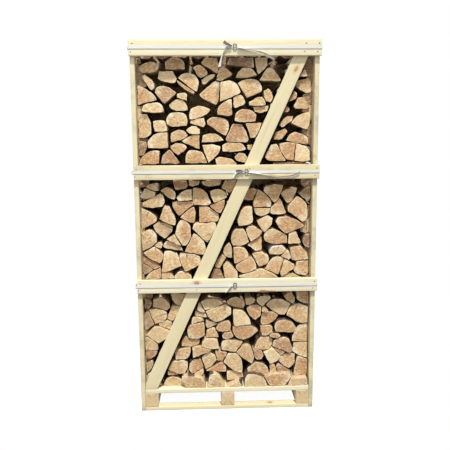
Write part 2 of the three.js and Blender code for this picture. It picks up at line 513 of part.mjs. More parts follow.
// A hidden log is a six-sided one around its place in the run
function hiddenLogs({ from, to, count, size }) {
  return Array.from({ length: count }, (_, i) => {
    const t = i / (count - 1);
    const middle = [from[0] + (to[0] - from[0]) * t, from[1] + (to[1] - from[1]) * t];
    return [0, 1, 2, 3, 4, 5].map((k) => {
      const angle = ((k + 0.5 * (i % 2)) * Math.PI) / 3;
      return [middle[0] + 0.5 * size[0] * Math.cos(angle), middle[1] + 0.5 * size[1] * Math.sin(angle)];
    });
  });
}

// All log ends of the front row, clear of each other
function stackedOutlines() {
  const logs = FRONT_LOGS.map(logOutline);
  for (let i = 0; i < logs.length; i += 1) {
    for (let k = i + 1; k < logs.length; k += 1) [logs[i], logs[k]] = part(logs[i], logs[k], false);
  }
  for (const hidden of HIDDEN_RUNS.flatMap(hiddenLogs)) {
    const cut = logs.reduce((left, log) => (left.length > 2 ? part(log, left, true)[1] : left), hidden);
    if (cut.length > 2 && area(cut) > SMALLEST_END.hidden) logs.push(cut);
  }
  return logs.map(within).map(tidy).filter((outline) => area(outline) > SMALLEST_END.seen);
}

// Geometry to solid and back, for joins
function solid(geometry) {
  const bare = geometry.clone();
  bare.deleteAttribute('normal');
  bare.deleteAttribute('uv');
  const merged = mergeVertices(bare);
  const triVerts = Uint32Array.from(merged.index.array);
  const vertProperties = Float32Array.from(merged.attributes.position.array);
  return new wasm.Manifold(new wasm.Mesh({ numProp: 3, vertProperties, triVerts }));
}

function geometryOf(manifold) {
  const mesh = manifold.getMesh();
  const geometry = new THREE.BufferGeometry();
  geometry.setAttribute('position', new THREE.BufferAttribute(mesh.vertProperties, 3));
  geometry.setIndex(new THREE.BufferAttribute(mesh.triVerts, 1));
  geometry.computeVertexNormals();
  return geometry;
}

// An outline across and up, extruded from the front to the back
function prism(outline, front, back) {
  const shape = new THREE.Shape(outline.map(([x, z]) => new THREE.Vector2(x, z)));
  const geometry = new THREE.ExtrudeGeometry(shape, { depth: back - front, bevelEnabled: false });
  return geometry.rotateX(Math.PI / 2).translate(0, back, 0);
}

const part3d = new THREE.Group();

function add(name, geometry, material) {
  const mesh = new THREE.Mesh(geometry, material);
  mesh.name = name;
  part3d.add(mesh);
  return mesh;
}

// A board between two corners
function board(name, [x0, x1], [y0, y1], [z0, z1]) {
  const mesh = add(name, new THREE.BoxGeometry(x1 - x0, y1 - y0, z1 - z0), sawnWood);
  mesh.position.set((x0 + x1) / 2, (y0 + y1) / 2, (z0 + z1) / 2);
}

function addPallet() {
  const half = BOTTOM_BOARD.depth / 2;
  const bottomPlaces = { front: half - HALF_DEPTH, middle: 0, back: HALF_DEPTH - half };
  for (const [where, y] of Object.entries(bottomPlaces)) {
    board(`bottom_board_${where}`, [-INNER_X, INNER_X], [y - half, y + half], [0, BOTTOM_BOARD.thickness]);
  }
  const stringerTop = BOTTOM_BOARD.thickness + STRINGER_HEIGHT;
  for (const [where, ends] of Object.entries(STRINGERS)) {
    board(`stringer_${where}`, ends, [-HALF_DEPTH, HALF_DEPTH], [BOTTOM_BOARD.thickness, stringerTop]);
  }
  const deckReach = INNER_X - DECK.endGap;
  const pitch = (2 * HALF_DEPTH - DECK.depth) / (DECK.count - 1);
  for (let i = 0; i < DECK.count; i += 1) {
    const y = -HALF_DEPTH + i * pitch;
    board(`deck_board_${i + 1}`, [-deckReach, deckReach], [y, y + DECK.depth], [stringerTop, DECK_TOP]);
  }
}

function addUprights() {
  const corners = { front_left: [-1, -1], front_right: [1, -1], back_left: [-1, 1], back_right: [1, 1] };
  for (const [where, [sideX, sideY]] of Object.entries(corners)) {
    const x = [sideX * HALF_WIDTH, sideX * INNER_X].sort((a, b) => a - b);
    const y = [sideY * HALF_DEPTH, sideY * (HALF_DEPTH - UPRIGHT.depth)].sort((a, b) => a - b);
    board(`upright_${where}`, x, y, [0, UPRIGHT.height]);
  }
}

function addRails() {
  for (const [level, { z, height, ends }] of Object.entries(RAILS)) {
    board(`rail_front_${level}`, ends, [-HALF_DEPTH - BOARD, -HALF_DEPTH], [z, z + height]);
    board(`rail_back_${level}`, [-ends[1], -ends[0]], [HALF_DEPTH, HALF_DEPTH + BOARD], [z, z + height]);
  }
}

// Across: from a slat's inner face to its outer one, and a margin beyond both
const slatSpan = (side, margin) =>
  [side * (INNER_X + margin), side * (INNER_X - SIDE_SLAT.thickness - margin)].sort((a, b) => a - b);

// Six slats on the inside of the uprights, at each side
function addSideSlats() {
  for (const [where, side] of [['left', -1], ['right', 1]]) {
    const x = slatSpan(side, 0);
    SIDE_SLAT.centres.forEach((z, i) => {
      const span = [z - SIDE_SLAT.height / 2, z + SIDE_SLAT.height / 2];
      board(`side_slat_${where}_${i + 1}`, x, [-SIDE_SLAT.reach, SIDE_SLAT.reach], span);
    });
  }
}

// Slanting braces: both ends are cut level, the foot stands on the deck and is cut off along the upright
function addBraces() {
  const low = DECK_TOP + TOUCH;
  const whole = [
    [BRACE.foot[0], low],
    [BRACE.foot[1], low],
    [BRACE.head[1], BRACE.top],
    [BRACE.head[0], BRACE.top],
  ];
  const outline = clip(whole, [-1, 0], BRACE.side);
  add('brace_front', prism(outline, -HALF_DEPTH, -HALF_DEPTH + BOARD), sawnWood);
  const mirrored = outline.map(([x, z]) => [-x, z]).reverse();
  add('brace_back', prism(mirrored, HALF_DEPTH - BOARD, HALF_DEPTH), sawnWood);
}

const standOut = (i) => UNEVEN.reduce((sum, { reach, turn }) => sum + reach * Math.sin(turn * i), 0);

// Room behind the outermost log ends for the front ends of the side slats
function slatRecesses(behind) {
  const front = -SIDE_SLAT.reach - TOUCH;
  const half = SIDE_SLAT.height / 2 + TOUCH;
  return [-1, 1].flatMap((side) => {
    const [left, right] = slatSpan(side, TOUCH);
    return SIDE_SLAT.centres.map((z) => prism(rectangle(left, right, z - half, z + half), front, behind));
  });
}

// The lowest logs that are clear of the brace lie forward, flat on the deck up to its edge
function logEnd(outline, front, back) {
  const foot = STACK.bottom + FORWARD.foot;
  const low = outline.some(([, z]) => z < foot);
  if (!low || outline.some(([x]) => x < FORWARD.left)) return prism(outline, front, back);
  const flat = outline.map(([x, z]) => [x, z < foot ? STACK.bottom : z + FORWARD.rise]);
  return prism(convexHull(flat), FORWARD.front, back);
}

// Three rows of logs, a block each; at the front every log's end stands out of its block
function addLogs() {
  const stack = rectangle(-STACK.side, STACK.side, STACK.bottom, STACK.top - STACK.loose);
  const [front, middle, back] = [0, 1, 2].map((row) => LOG.front + row * LOG.rowPitch);
  const face = front + LOG.relief;
  const ends = stackedOutlines().map((outline, i) => logEnd(outline, front + standOut(i), face + LOG.bite));
  const row = wasm.Manifold.union([prism(stack, face, front + LOG.length), ...ends].map(solid));
  const recesses = wasm.Manifold.union(slatRecesses(face + 2 * LOG.bite).map(solid));
  add('log_row_front', geometryOf(row.subtract(recesses)), splitWood);
  add('log_row_middle', prism(stack, middle, middle + LOG.length), splitWood);
  add('log_row_back', prism(stack, back, back + LOG.length), splitWood);
}

// A flat closed band around a rail level, drawn tight over the rail ends
function roundedBand(left, right, front, back, radius) {
  const path = new THREE.Path();
  path.moveTo(left + radius, front);
  path.lineTo(right - radius, front);
  path.absarc(right - radius, front + radius, radius, -Math.PI / 2, 0);
  path.lineTo(right, back - radius);
  path.absarc(right - radius, back - radius, radius, 0, Math.PI / 2);
  path.lineTo(left + radius, back);
  path.absarc(left + radius, back - radius, radius, Math.PI / 2, Math.PI);
  path.lineTo(left, front + radius);
  path.absarc(left + radius, front + radius, radius, Math.PI, 1.5 * Math.PI);
  return path;
}

function addStrap(level, z) {
  const reach = Math.max(...RAILS[level].ends.map(Math.abs)) + TOUCH;
  const depth = HALF_DEPTH + BOARD + TOUCH;
  const wall = STRAP.thickness;
  const [x, y] = [reach + wall, depth + wall];
  const outer = roundedBand(-x, x, -y, y, STRAP.cornerRadius + wall);
  const shape = new THREE.Shape(outer.getPoints(BEND_STEPS));
  shape.holes.push(roundedBand(-reach, reach, -depth, depth, STRAP.cornerRadius));
  const options = { depth: STRAP.width, bevelEnabled: false, curveSegments: BEND_STEPS };
  const geometry = new THREE.ExtrudeGeometry(shape, options);
  add(`strap_${level}`, geometry, strapPlastic).position.z = z - STRAP.width / 2;
}

// A stadium, the outline of a buckle's bent wire
function buckleOutline(width, height) {
  const radius = width / 2;
  const path = new THREE.Path();
  path.absarc(0, height / 2 - radius, radius, 0, Math.PI);
  path.absarc(0, radius - height / 2, radius, Math.PI, 2 * Math.PI);
  path.closePath();
  return path;
}

const strapFace = -(HALF_DEPTH + BOARD + TOUCH + STRAP.thickness + BUCKLE.lift);

function addBuckle(level, x, z) {
  const shape = new THREE.Shape(buckleOutline(BUCKLE.width, BUCKLE.height).getPoints(2 * BEND_STEPS));
  shape.holes.push(buckleOutline(BUCKLE.width - 2 * BUCKLE.wire, BUCKLE.height - 2 * BUCKLE.wire));
  const options = { depth: BUCKLE.wire, bevelEnabled: false, curveSegments: 2 * BEND_STEPS };
  const geometry = new THREE.ExtrudeGeometry(shape, options);
  geometry.rotateX(Math.PI / 2).translate(x, strapFace, z);
  add(`buckle_${level}`, geometry, wireSteel);
}

// A loose strap end: a flat band along a line of points across and up
function addTail(name, points) {
  const line = new THREE.SplineCurve(points.map(([x, z]) => new THREE.Vector2(x, z)));
  const middle = line.getSpacedPoints(TAIL_STEPS);
  const half = STRAP.width / 2;
  const edge = (side) =>
    middle.map((p, i) => {
      const along = line.getTangentAt(i / TAIL_STEPS);
      return [p.x - along.y * half * side, p.y + along.x * half * side];
    });
  const outline = [...edge(-1), ...edge(1).reverse()];
  add(name, prism(outline, strapFace - STRAP.thickness, strapFace), strapPlastic);
}

function addStrapping() {
  for (const [level, [x, z]] of Object.entries(BUCKLE_PLACES)) {
    addStrap(level, z);
    addBuckle(level, x, z);
  }
  for (const [name, points] of Object.entries(TAILS)) addTail(name, points);
}

addPallet();
addUprights();
addRails();
addSideSlats();
addBraces();
addLogs();
addStrapping();

export default part3d;
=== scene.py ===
"""A tall slatted crate of split firewood on its pallet: every log, board, strap and nail.

All places are in metres, +Z up, the front towards -Y, as in the frame."""
import math
import bpy
import numpy as np
from mathutils import Matrix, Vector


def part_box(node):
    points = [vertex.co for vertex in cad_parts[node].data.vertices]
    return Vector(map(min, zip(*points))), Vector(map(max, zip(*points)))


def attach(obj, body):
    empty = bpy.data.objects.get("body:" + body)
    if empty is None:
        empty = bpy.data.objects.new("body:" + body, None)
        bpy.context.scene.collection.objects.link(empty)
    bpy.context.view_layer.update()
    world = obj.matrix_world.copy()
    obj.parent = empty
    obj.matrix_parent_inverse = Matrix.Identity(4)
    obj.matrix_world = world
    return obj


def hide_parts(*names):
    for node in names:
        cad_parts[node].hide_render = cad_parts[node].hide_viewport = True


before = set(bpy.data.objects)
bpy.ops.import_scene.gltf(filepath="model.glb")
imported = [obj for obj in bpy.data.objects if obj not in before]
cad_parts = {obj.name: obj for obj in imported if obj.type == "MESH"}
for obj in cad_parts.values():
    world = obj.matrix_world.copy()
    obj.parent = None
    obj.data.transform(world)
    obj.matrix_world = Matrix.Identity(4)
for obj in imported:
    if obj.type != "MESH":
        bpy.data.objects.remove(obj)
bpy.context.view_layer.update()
BODY = "root"
LEVELS = ("lower", "middle", "upper")

# Camera
CAMERA_PLACE = (-0.101, -3.2316, 1.5494)
CAMERA_YAW = 0.033
CAMERA_PITCH = 0.1606
CAMERA_ROLL = -0.0074
CAMERA_LENS = 41.6

# Loose strap ends: the points that each band's middle line passes, away from its buckle, across and up
STRAP_WIDTH = 0.016
STRAP_THICKNESS = 0.0008
STRAP_FACE = -0.4239
TAIL_STEPS = 40
LONG_TAILS = {
    "strap_tail_upper_right": [(0.065, 2.026), (0.128, 2.014), (0.191, 1.999), (0.254, 1.969)],
    "strap_tail_upper_left": [(0.034, 2.031), (0.004, 2.024), (-0.014, 1.994), (-0.031, 1.929)],
    "strap_tail_middle_right": [
        (0.126, 1.381), (0.193, 1.371), (0.264, 1.360), (0.345, 1.359), (0.399, 1.378),
    ],
}
SHORT_TAILS = {
    "strap_tail_middle_left": [(0.094, 1.383), (0.078, 1.388), (0.052, 1.376), (0.037, 1.351)],
    "strap_tail_lower": [(0.029, 0.752), (0.014, 0.742), (-0.008, 0.716)],
}
STUBS = {
    "band_stub_upper": [(0.034, 2.031), (0.016, 2.040), (0.002, 2.047), (-0.008, 2.056)],
    "band_stub_middle": [(0.095, 1.384), (0.078, 1.390), (0.062, 1.389), (0.052, 1.385)],
}

# Logs
LOG_LENGTH = 0.236
CORNERS_AROUND = {"front": 38, "middle": 20, "back": 36}
LOGS_IN_PATCH = 18
ROW_REACH = 0.474
ROW_HEIGHTS = (0.1325, 2.034)
FILLING = 1.06
PACKED_PITCH = 0.1
UNEVEN = 0.012
SMALLEST_END = 0.012
# Sticks beside the outermost logs: their room across, the step of its heights, and their front
STICK_FROM = 0.425
STICK_TO = 0.484
STICK_STEP = 0.004
STICK_FRONT = -0.339
STICK_LEAST_ROOM = 0.006
STICK_OVERLAP = 0.0015
STICK_THINNEST = 0.003
STICK_HEIGHT = 0.052
STICK_HEIGHT_VARIES = 0.024
SLAT_MARGIN = 0.005
# Logs on the outside of the stack: what counts as lying along its limit, and how round they are there
FLAT_WITHIN = 0.0015
BULGE_TOP = 0.014
BULGE_SIDE = 0.009
# Above these heights the logs get a dark tint and kind: painted shade under the top rail
SHADE_PAINTED_ABOVE = {"front": 1.985, "middle": 1.89, "back": 1.985}
SHADE_PAINTED_TINT = 0.1
SHADE_PAINTED_KIND = 0.94
# The thin sticks at the very side get a dark kind: painted shade beside the outermost logs
STICK_SHADE_KIND = 0.9
VERY_SIDE = 0.447
BIRCH_SHARE = {"front": 0.0, "middle": 0.0, "back": 0.08}
SEEDS = {"front": 11, "middle": 12, "back": 13}
TRACED_BEFORE = -0.335
NOTED_WITHIN = 0.045
# Bark: how squarely a side faces away from the pith, how far out it lies, over what step both come in,
# and the share of logs that keep theirs, inside the stack and on its outside
BARK_FACING = 0.72
BARK_REACH = 0.62
BARK_STEP = 0.12
BARK_KEPT = 0.8
BARK_KEPT_OUTSIDE = 0.55
LENGTH_VARIES = (-0.02, 0.004)
SHARP_TURN = math.radians(46)

# Light
AMBIENT = 0.42
FLOOR_SIZE = 1.35
FLOOR_LEVEL = -0.0006

# Boards
BOARD_EDGE = 0.0022
BOARD_STEP = 0.035
BRACE_FOOT = (-0.488, -0.405)
BRACE_HEAD = (0.393, 0.472)
BRACE_SIDE = 0.474
# Where the nails are driven: how far an upright's middle is from the crate's, across and in depth
UPRIGHT_ACROSS = 0.487
UPRIGHT_DEEP = 0.352
BARK_ENDS = (0.157, 0.2865)


# Surfaces

def tube_faces(rings, around, inward=False):
    """Four-sided faces between following rings of points, and three-sided ones from the two end
    points to the first and last ring. The points are the rings in turn, then the two end points."""
    ring, place = np.meshgrid(np.arange(rings - 1), np.arange(around), indexing="ij")
    after = (place + 1) % around
    quads = np.stack([
        ring * around + place, ring * around + after,
        (ring + 1) * around + after, (ring + 1) * around + place,
    ], -1).reshape(-1, 4)
    edge = np.arange(around)
    beside = (edge + 1) % around
    last = (rings - 1) * around
    first_point = rings * around
    start = np.stack([np.full(around, first_point), beside, edge], -1)
    end = np.stack([np.full(around, first_point + 1), last + edge, last + beside], -1)
    fans = np.vstack([start, end])
    return (quads[:, ::-1], fans[:, ::-1]) if inward else (quads, fans)


def joined_tubes(rings, ends, fields, inward=False):
    """Several tubes as one set of points: rings is tubes x rings x around x 3, ends is tubes x 2 x 3,
    and each field gives its values on the rings and on the ends in the same way."""
    tubes, count, around = rings.shape[:3]
    each = count * around + 2

    def flat(on_rings, on_ends):
        width = on_rings.shape[-1]
        return np.concatenate([on_rings.reshape(tubes, -1, width), on_ends], 1).reshape(-1, width)

    quads, fans = tube_faces(count, around, inward)
    step = (np.arange(tubes) * each)[:, None, None]
    values = {name: flat(*pair) for name, pair in fields.items()}
    return flat(rings, ends), (quads + step).reshape(-1, 4), (fans + step).reshape(-1, 3), values


def make_piece(name, surface, material, nodes=(), sharp=40):
    """A mesh object of a surface, with named fields on its points, that rides on the crate."""
    points, quads, fans, fields = surface
    corners = np.concatenate([quads.ravel(), fans.ravel()]).astype(np.int32)
    starts = np.concatenate([np.arange(len(quads)) * 4, 4 * len(quads) + np.arange(len(fans)) * 3])
    mesh = bpy.data.meshes.new(name)
    mesh.vertices.add(len(points))
    mesh.vertices.foreach_set("co", points.astype(np.float32).ravel())
    mesh.loops.add(len(corners))
    mesh.loops.foreach_set("vertex_index", corners)
    mesh.polygons.add(len(starts))
    mesh.polygons.foreach_set("loop_start", starts.astype(np.int32))
    mesh.polygons.foreach_set("use_smooth", np.ones(len(starts), bool))
    for field, values in fields.items():
        kind = "FLOAT_VECTOR" if values.shape[1] == 3 else "FLOAT_COLOR"
        attribute = mesh.attributes.new(field, kind, "POINT")
        key = "vector" if kind == "FLOAT_VECTOR" else "color"
        attribute.data.foreach_set(key, values.astype(np.float32).ravel())
    mesh.update(calc_edges=True)
    mesh.set_sharp_from_angle(angle=math.radians(sharp))
    mesh.materials.append(material)
    piece = bpy.data.objects.new(name, mesh)
    bpy.context.scene.collection.objects.link(piece)
    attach(piece, BODY)
    if nodes:
        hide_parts(*nodes)
    return piece


def unit(vectors):
    """The same directions at length one."""
    return vectors / np.linalg.norm(vectors, axis=-1)[..., None]


def way_along(path):
    """How far each point of a path lies from its start, walked along it."""
    return np.concatenate([[0], np.cumsum(np.linalg.norm(np.diff(path, axis=0), axis=1))])


def wave(rng, values, size, length):
    """A smooth random wave: three sines of about that length, their sizes and starts drawn by rng."""
    total = np.zeros_like(values)
    for share in (1.0, 0.6, 0.35):
        turn = 2 * math.pi / (length * rng.uniform(0.6, 1.5) * share)
        total += size * share * rng.uniform(0.4, 1) * np.sin(values * turn + rng.uniform(0, 7))
    return total


# Node trees

class Tree:
    """Adds nodes to a node tree; an input is a number, a colour or another node's output."""

    def __init__(self, tree):
        self.tree = tree

    def give(self, socket, value):
        if isinstance(value, bpy.types.NodeSocket):
            self.tree.links.new(value, socket)
        else:
            socket.default_value = value

    def add(self, kind, inputs=None, **settings):
        node = self.tree.nodes.new(kind)
        for key, value in settings.items():
            setattr(node, key, value)
        for key, value in (inputs or {}).items():
            self.give(node.inputs[key], value)
        return node

    def math(self, operation, first, second=0.0, third=0.0):
        inputs = {0: first, 1: second, 2: third}
        return self.add("ShaderNodeMath", inputs, operation=operation).outputs[0]

    def plus(self, first, second):
        return self.math("ADD", first, second)

    def minus(self, first, second):
        return self.math("SUBTRACT", first, second)

    def times(self, first, second):
        return self.math("MULTIPLY", first, second)

    def length(self, vector):
        return self.add("ShaderNodeVectorMath", {0: vector}, operation="LENGTH").outputs["Value"]

    def vector(self, across, up=0.0, along=0.0):
        return self.add("ShaderNodeCombineXYZ", {0: across, 1: up, 2: along}).outputs[0]

    def scaled(self, vector, scale):
        node = self.add("ShaderNodeVectorMath", {0: vector, 1: scale}, operation="MULTIPLY")
        return node.outputs[0]

    def moved(self, vector, other):
        return self.add("ShaderNodeVectorMath", {0: vector, 1: other}, operation="ADD").outputs[0]

    def noise(self, vector, scale=1.0, detail=3.0, roughness=0.55, distortion=0.0):
        inputs = {
            "Vector": vector, "Scale": scale, "Detail": detail,
            "Roughness": roughness, "Distortion": distortion,
        }
        return self.add("ShaderNodeTexNoise", inputs).outputs[0]

    def band(self, value, low, high, start=0.0, end=1.0):
        inputs = {0: value, 1: low, 2: high, 3: start, 4: end}
        return self.add("ShaderNodeMapRange", inputs, interpolation_type="SMOOTHSTEP").outputs[0]

    def mix(self, factor, first, second):
        """The second colour laid over the first, as far as the factor says."""
        both = [c if isinstance(c, bpy.types.NodeSocket) else (*c, 1) for c in (first, second)]
        inputs = {0: factor, 6: both[0], 7: both[1]}
        return self.add("ShaderNodeMix", inputs, data_type="RGBA").outputs[2]

    def layers(self, colour, over):
        """A colour with others laid over it in turn, each as far as its factor says."""
        for factor, other in over:
            colour = self.mix(factor, colour, other)
        return colour

    def ramp(self, factor, stops):
        node = self.add("ShaderNodeValToRGB", {0: factor})
        ramp = node.color_ramp
        while len(ramp.elements) < len(stops):
            ramp.elements.new(0.5)
        for element, (place, colour) in zip(ramp.elements, stops):
            element.position = place
            element.color = (*colour, 1)
        return node.outputs[0]

    def field(self, name, output="Vector"):
        return self.add("ShaderNodeAttribute", attribute_name=name).outputs[output]

    def looks(self, name):
        return self.add("ShaderNodeSeparateColor", {0: self.field(name, "Color")}).outputs

    def split(self, vector):
        return self.add("ShaderNodeSeparateXYZ", {0: vector}).outputs

    def group(self, group, **inputs):
        node = self.add("ShaderNodeGroup", node_tree=group)
        for key, value in inputs.items():
            self.give(node.inputs[key.capitalize()], value)
        return node.outputs


def new_group(name, inputs, outputs):
    """An empty shader node group with its sockets, and the two nodes that hold them."""
    group = bpy.data.node_groups.new(name, "ShaderNodeTree")
    for title, kind in inputs:
        group.interface.new_socket(title, in_out="INPUT", socket_type=f"NodeSocket{kind}")
    for title, kind in outputs:
        group.interface.new_socket(title, in_out="OUTPUT", socket_type=f"NodeSocket{kind}")
    tree = Tree(group)
    taken = tree.add("NodeGroupInput").outputs
    return group, tree, taken, tree.add("NodeGroupOutput").inputs


def fibres_group():
    """Long fibres: noise drawn out along the place's third direction, as streaks and as relief."""
    group, tree, taken, given = new_group(
        "fibres", [("Place", "Vector"), ("Fineness", "Float")], [("Streaks", "Float"), ("Relief", "Float")]
    )
    scaled = tree.scaled(taken["Place"], (1, 1, 0.045))
    broad = tree.noise(scaled, tree.times(taken["Fineness"], 70), 4, 0.6, 0.4)
    fine = tree.noise(scaled, tree.times(taken["Fineness"], 420), 3, 0.6)
    tree.give(given["Streaks"], broad)
    tree.give(given["Relief"], tree.math("MULTIPLY_ADD", broad, 0.6, tree.times(fine, 0.4)))
    return group


def saw_group():
    """Saw marks: uneven ridges across the way that the saw went."""
    group, tree, taken, given = new_group(
        "saw_marks", [("Travel", "Float"), ("Place", "Vector"), ("Spacing", "Float")], [("Ridges", "Float")]
    )
    unsteady = tree.noise(taken["Place"], 30.0, 2)
    turns = tree.math("DIVIDE", taken["Travel"], taken["Spacing"])
    phase = tree.plus(tree.times(turns, 2 * math.pi), tree.times(unsteady, 14))
    ridges = tree.band(tree.math("SINE", phase), -1, 1)
    tree.give(given["Ridges"], ridges)
    return group


def grime_group():
    """Where dust, damp and age have darkened a surface: broad clouds broken up by small ones."""
    group, tree, taken, given = new_group(
        "grime", [("Place", "Vector"), ("Amount", "Float")], [("Mask", "Float")]
    )
    clouds = tree.noise(taken["Place"], 9.0, 4, 0.6)
    specks = tree.noise(taken["Place"], 120.0, 3, 0.6)
    both = tree.plus(tree.times(clouds, 0.75), tree.times(specks, 0.25))
    edge = tree.minus(0.78, tree.times(taken["Amount"], 0.4))
    over = tree.times(tree.minus(both, edge), 5)
    tree.give(given["Mask"], tree.band(over, 0, 1))
    return group


FIBRES = fibres_group()
SAW_MARKS = saw_group()
GRIME = grime_group()


def new_material(name):
    material = bpy.data.materials.new(name)
    material.use_nodes = True
    shader = material.node_tree.nodes["Principled BSDF"]
    return material, Tree(material.node_tree), shader


def finish_material(tree, shader, colour, roughness, relief=None, depth=0.001, strength=1.0):
    tree.give(shader.inputs["Base Color"], colour)
    tree.give(shader.inputs["Roughness"], roughness)
    if relief:
        bump = tree.add("ShaderNodeBump", {"Height": relief, "Distance": depth, "Strength": strength})
        tree.give(shader.inputs["Normal"], bump.outputs[0])


def board_wood():
    """Sawn pale softwood: streaks along the board, saw ridges across it, knots, grey dust, end grain."""
    material, tree, shader = new_material("board_wood")
    place = tree.field("board_place")
    tint, dull, cut = tree.looks("board_look")
    knot = tree.split(tree.field("knot_place"))
    far = tree.vector(knot[0], tree.times(knot[2], 0.62))
    uneven = tree.noise(place, 60.0, 2)
    distance = tree.plus(tree.length(far), tree.times(tree.minus(uneven, 0.5), 0.006))
    in_knot = tree.band(distance, 0.0075, 0.0095, 1, 0)
    round_knot = tree.band(distance, 0.009, 0.024, 1, 0)
    beside = tree.times(tree.math("SIGN", knot[0]), round_knot)
    pushed = tree.moved(place, tree.vector(tree.times(beside, 0.006)))
    streaks, relief = tree.group(FIBRES, place=pushed, fineness=1.0)
    rings = tree.noise(tree.scaled(pushed, (1, 1, 0.02)), 95.0, 2, 0.5, 0.6)
    ring_lines = tree.band(tree.math("SINE", tree.times(rings, 46)), 0.1, 1)
    pale = tree.mix(tint, (0.73, 0.65, 0.41), (0.81, 0.76, 0.55))
    grain = tree.mix(tree.times(ring_lines, 0.34), pale, (0.70, 0.53, 0.27))
    warm = tree.mix(tree.band(streaks, 0.5, 0.78, 0, 0.4), grain, (0.62, 0.45, 0.22))
    clean = tree.mix(tree.band(streaks, 0.46, 0.2, 0, 0.5), warm, (0.89, 0.83, 0.65))
    blush = tree.mix(tree.times(round_knot, 0.5), clean, (0.60, 0.36, 0.14))
    knot_rings = tree.band(tree.math("SINE", tree.times(distance, 2600)), -0.4, 1)
    knot_colour = tree.mix(knot_rings, (0.34, 0.19, 0.09), (0.60, 0.43, 0.25))
    knotted = tree.mix(in_knot, blush, knot_colour)
    dusty = tree.group(GRIME, place=place, amount=dull)[0]
    aged = tree.mix(tree.times(dusty, 0.55), knotted, (0.36, 0.30, 0.22))
    pores = tree.noise(tree.scaled(place, (1, 1, 0.3)), 700.0, 2)
    end_grain = tree.mix(tree.band(pores, 0.4, 0.7), (0.74, 0.57, 0.32), (0.46, 0.31, 0.15))
    colour = tree.mix(tree.band(cut, 0.45, 0.55), aged, end_grain)
    travel = tree.split(place)[2]
    ridges = tree.group(SAW_MARKS, travel=travel, place=place, spacing=0.0031)[0]
    height = tree.plus(relief, tree.times(ridges, 0.22))
    height = tree.minus(height, tree.times(in_knot, 0.15))
    finish_material(tree, shader, colour, tree.band(streaks, 0.2, 0.8, 0.78, 0.62), height, 0.0009, 0.8)
    return material


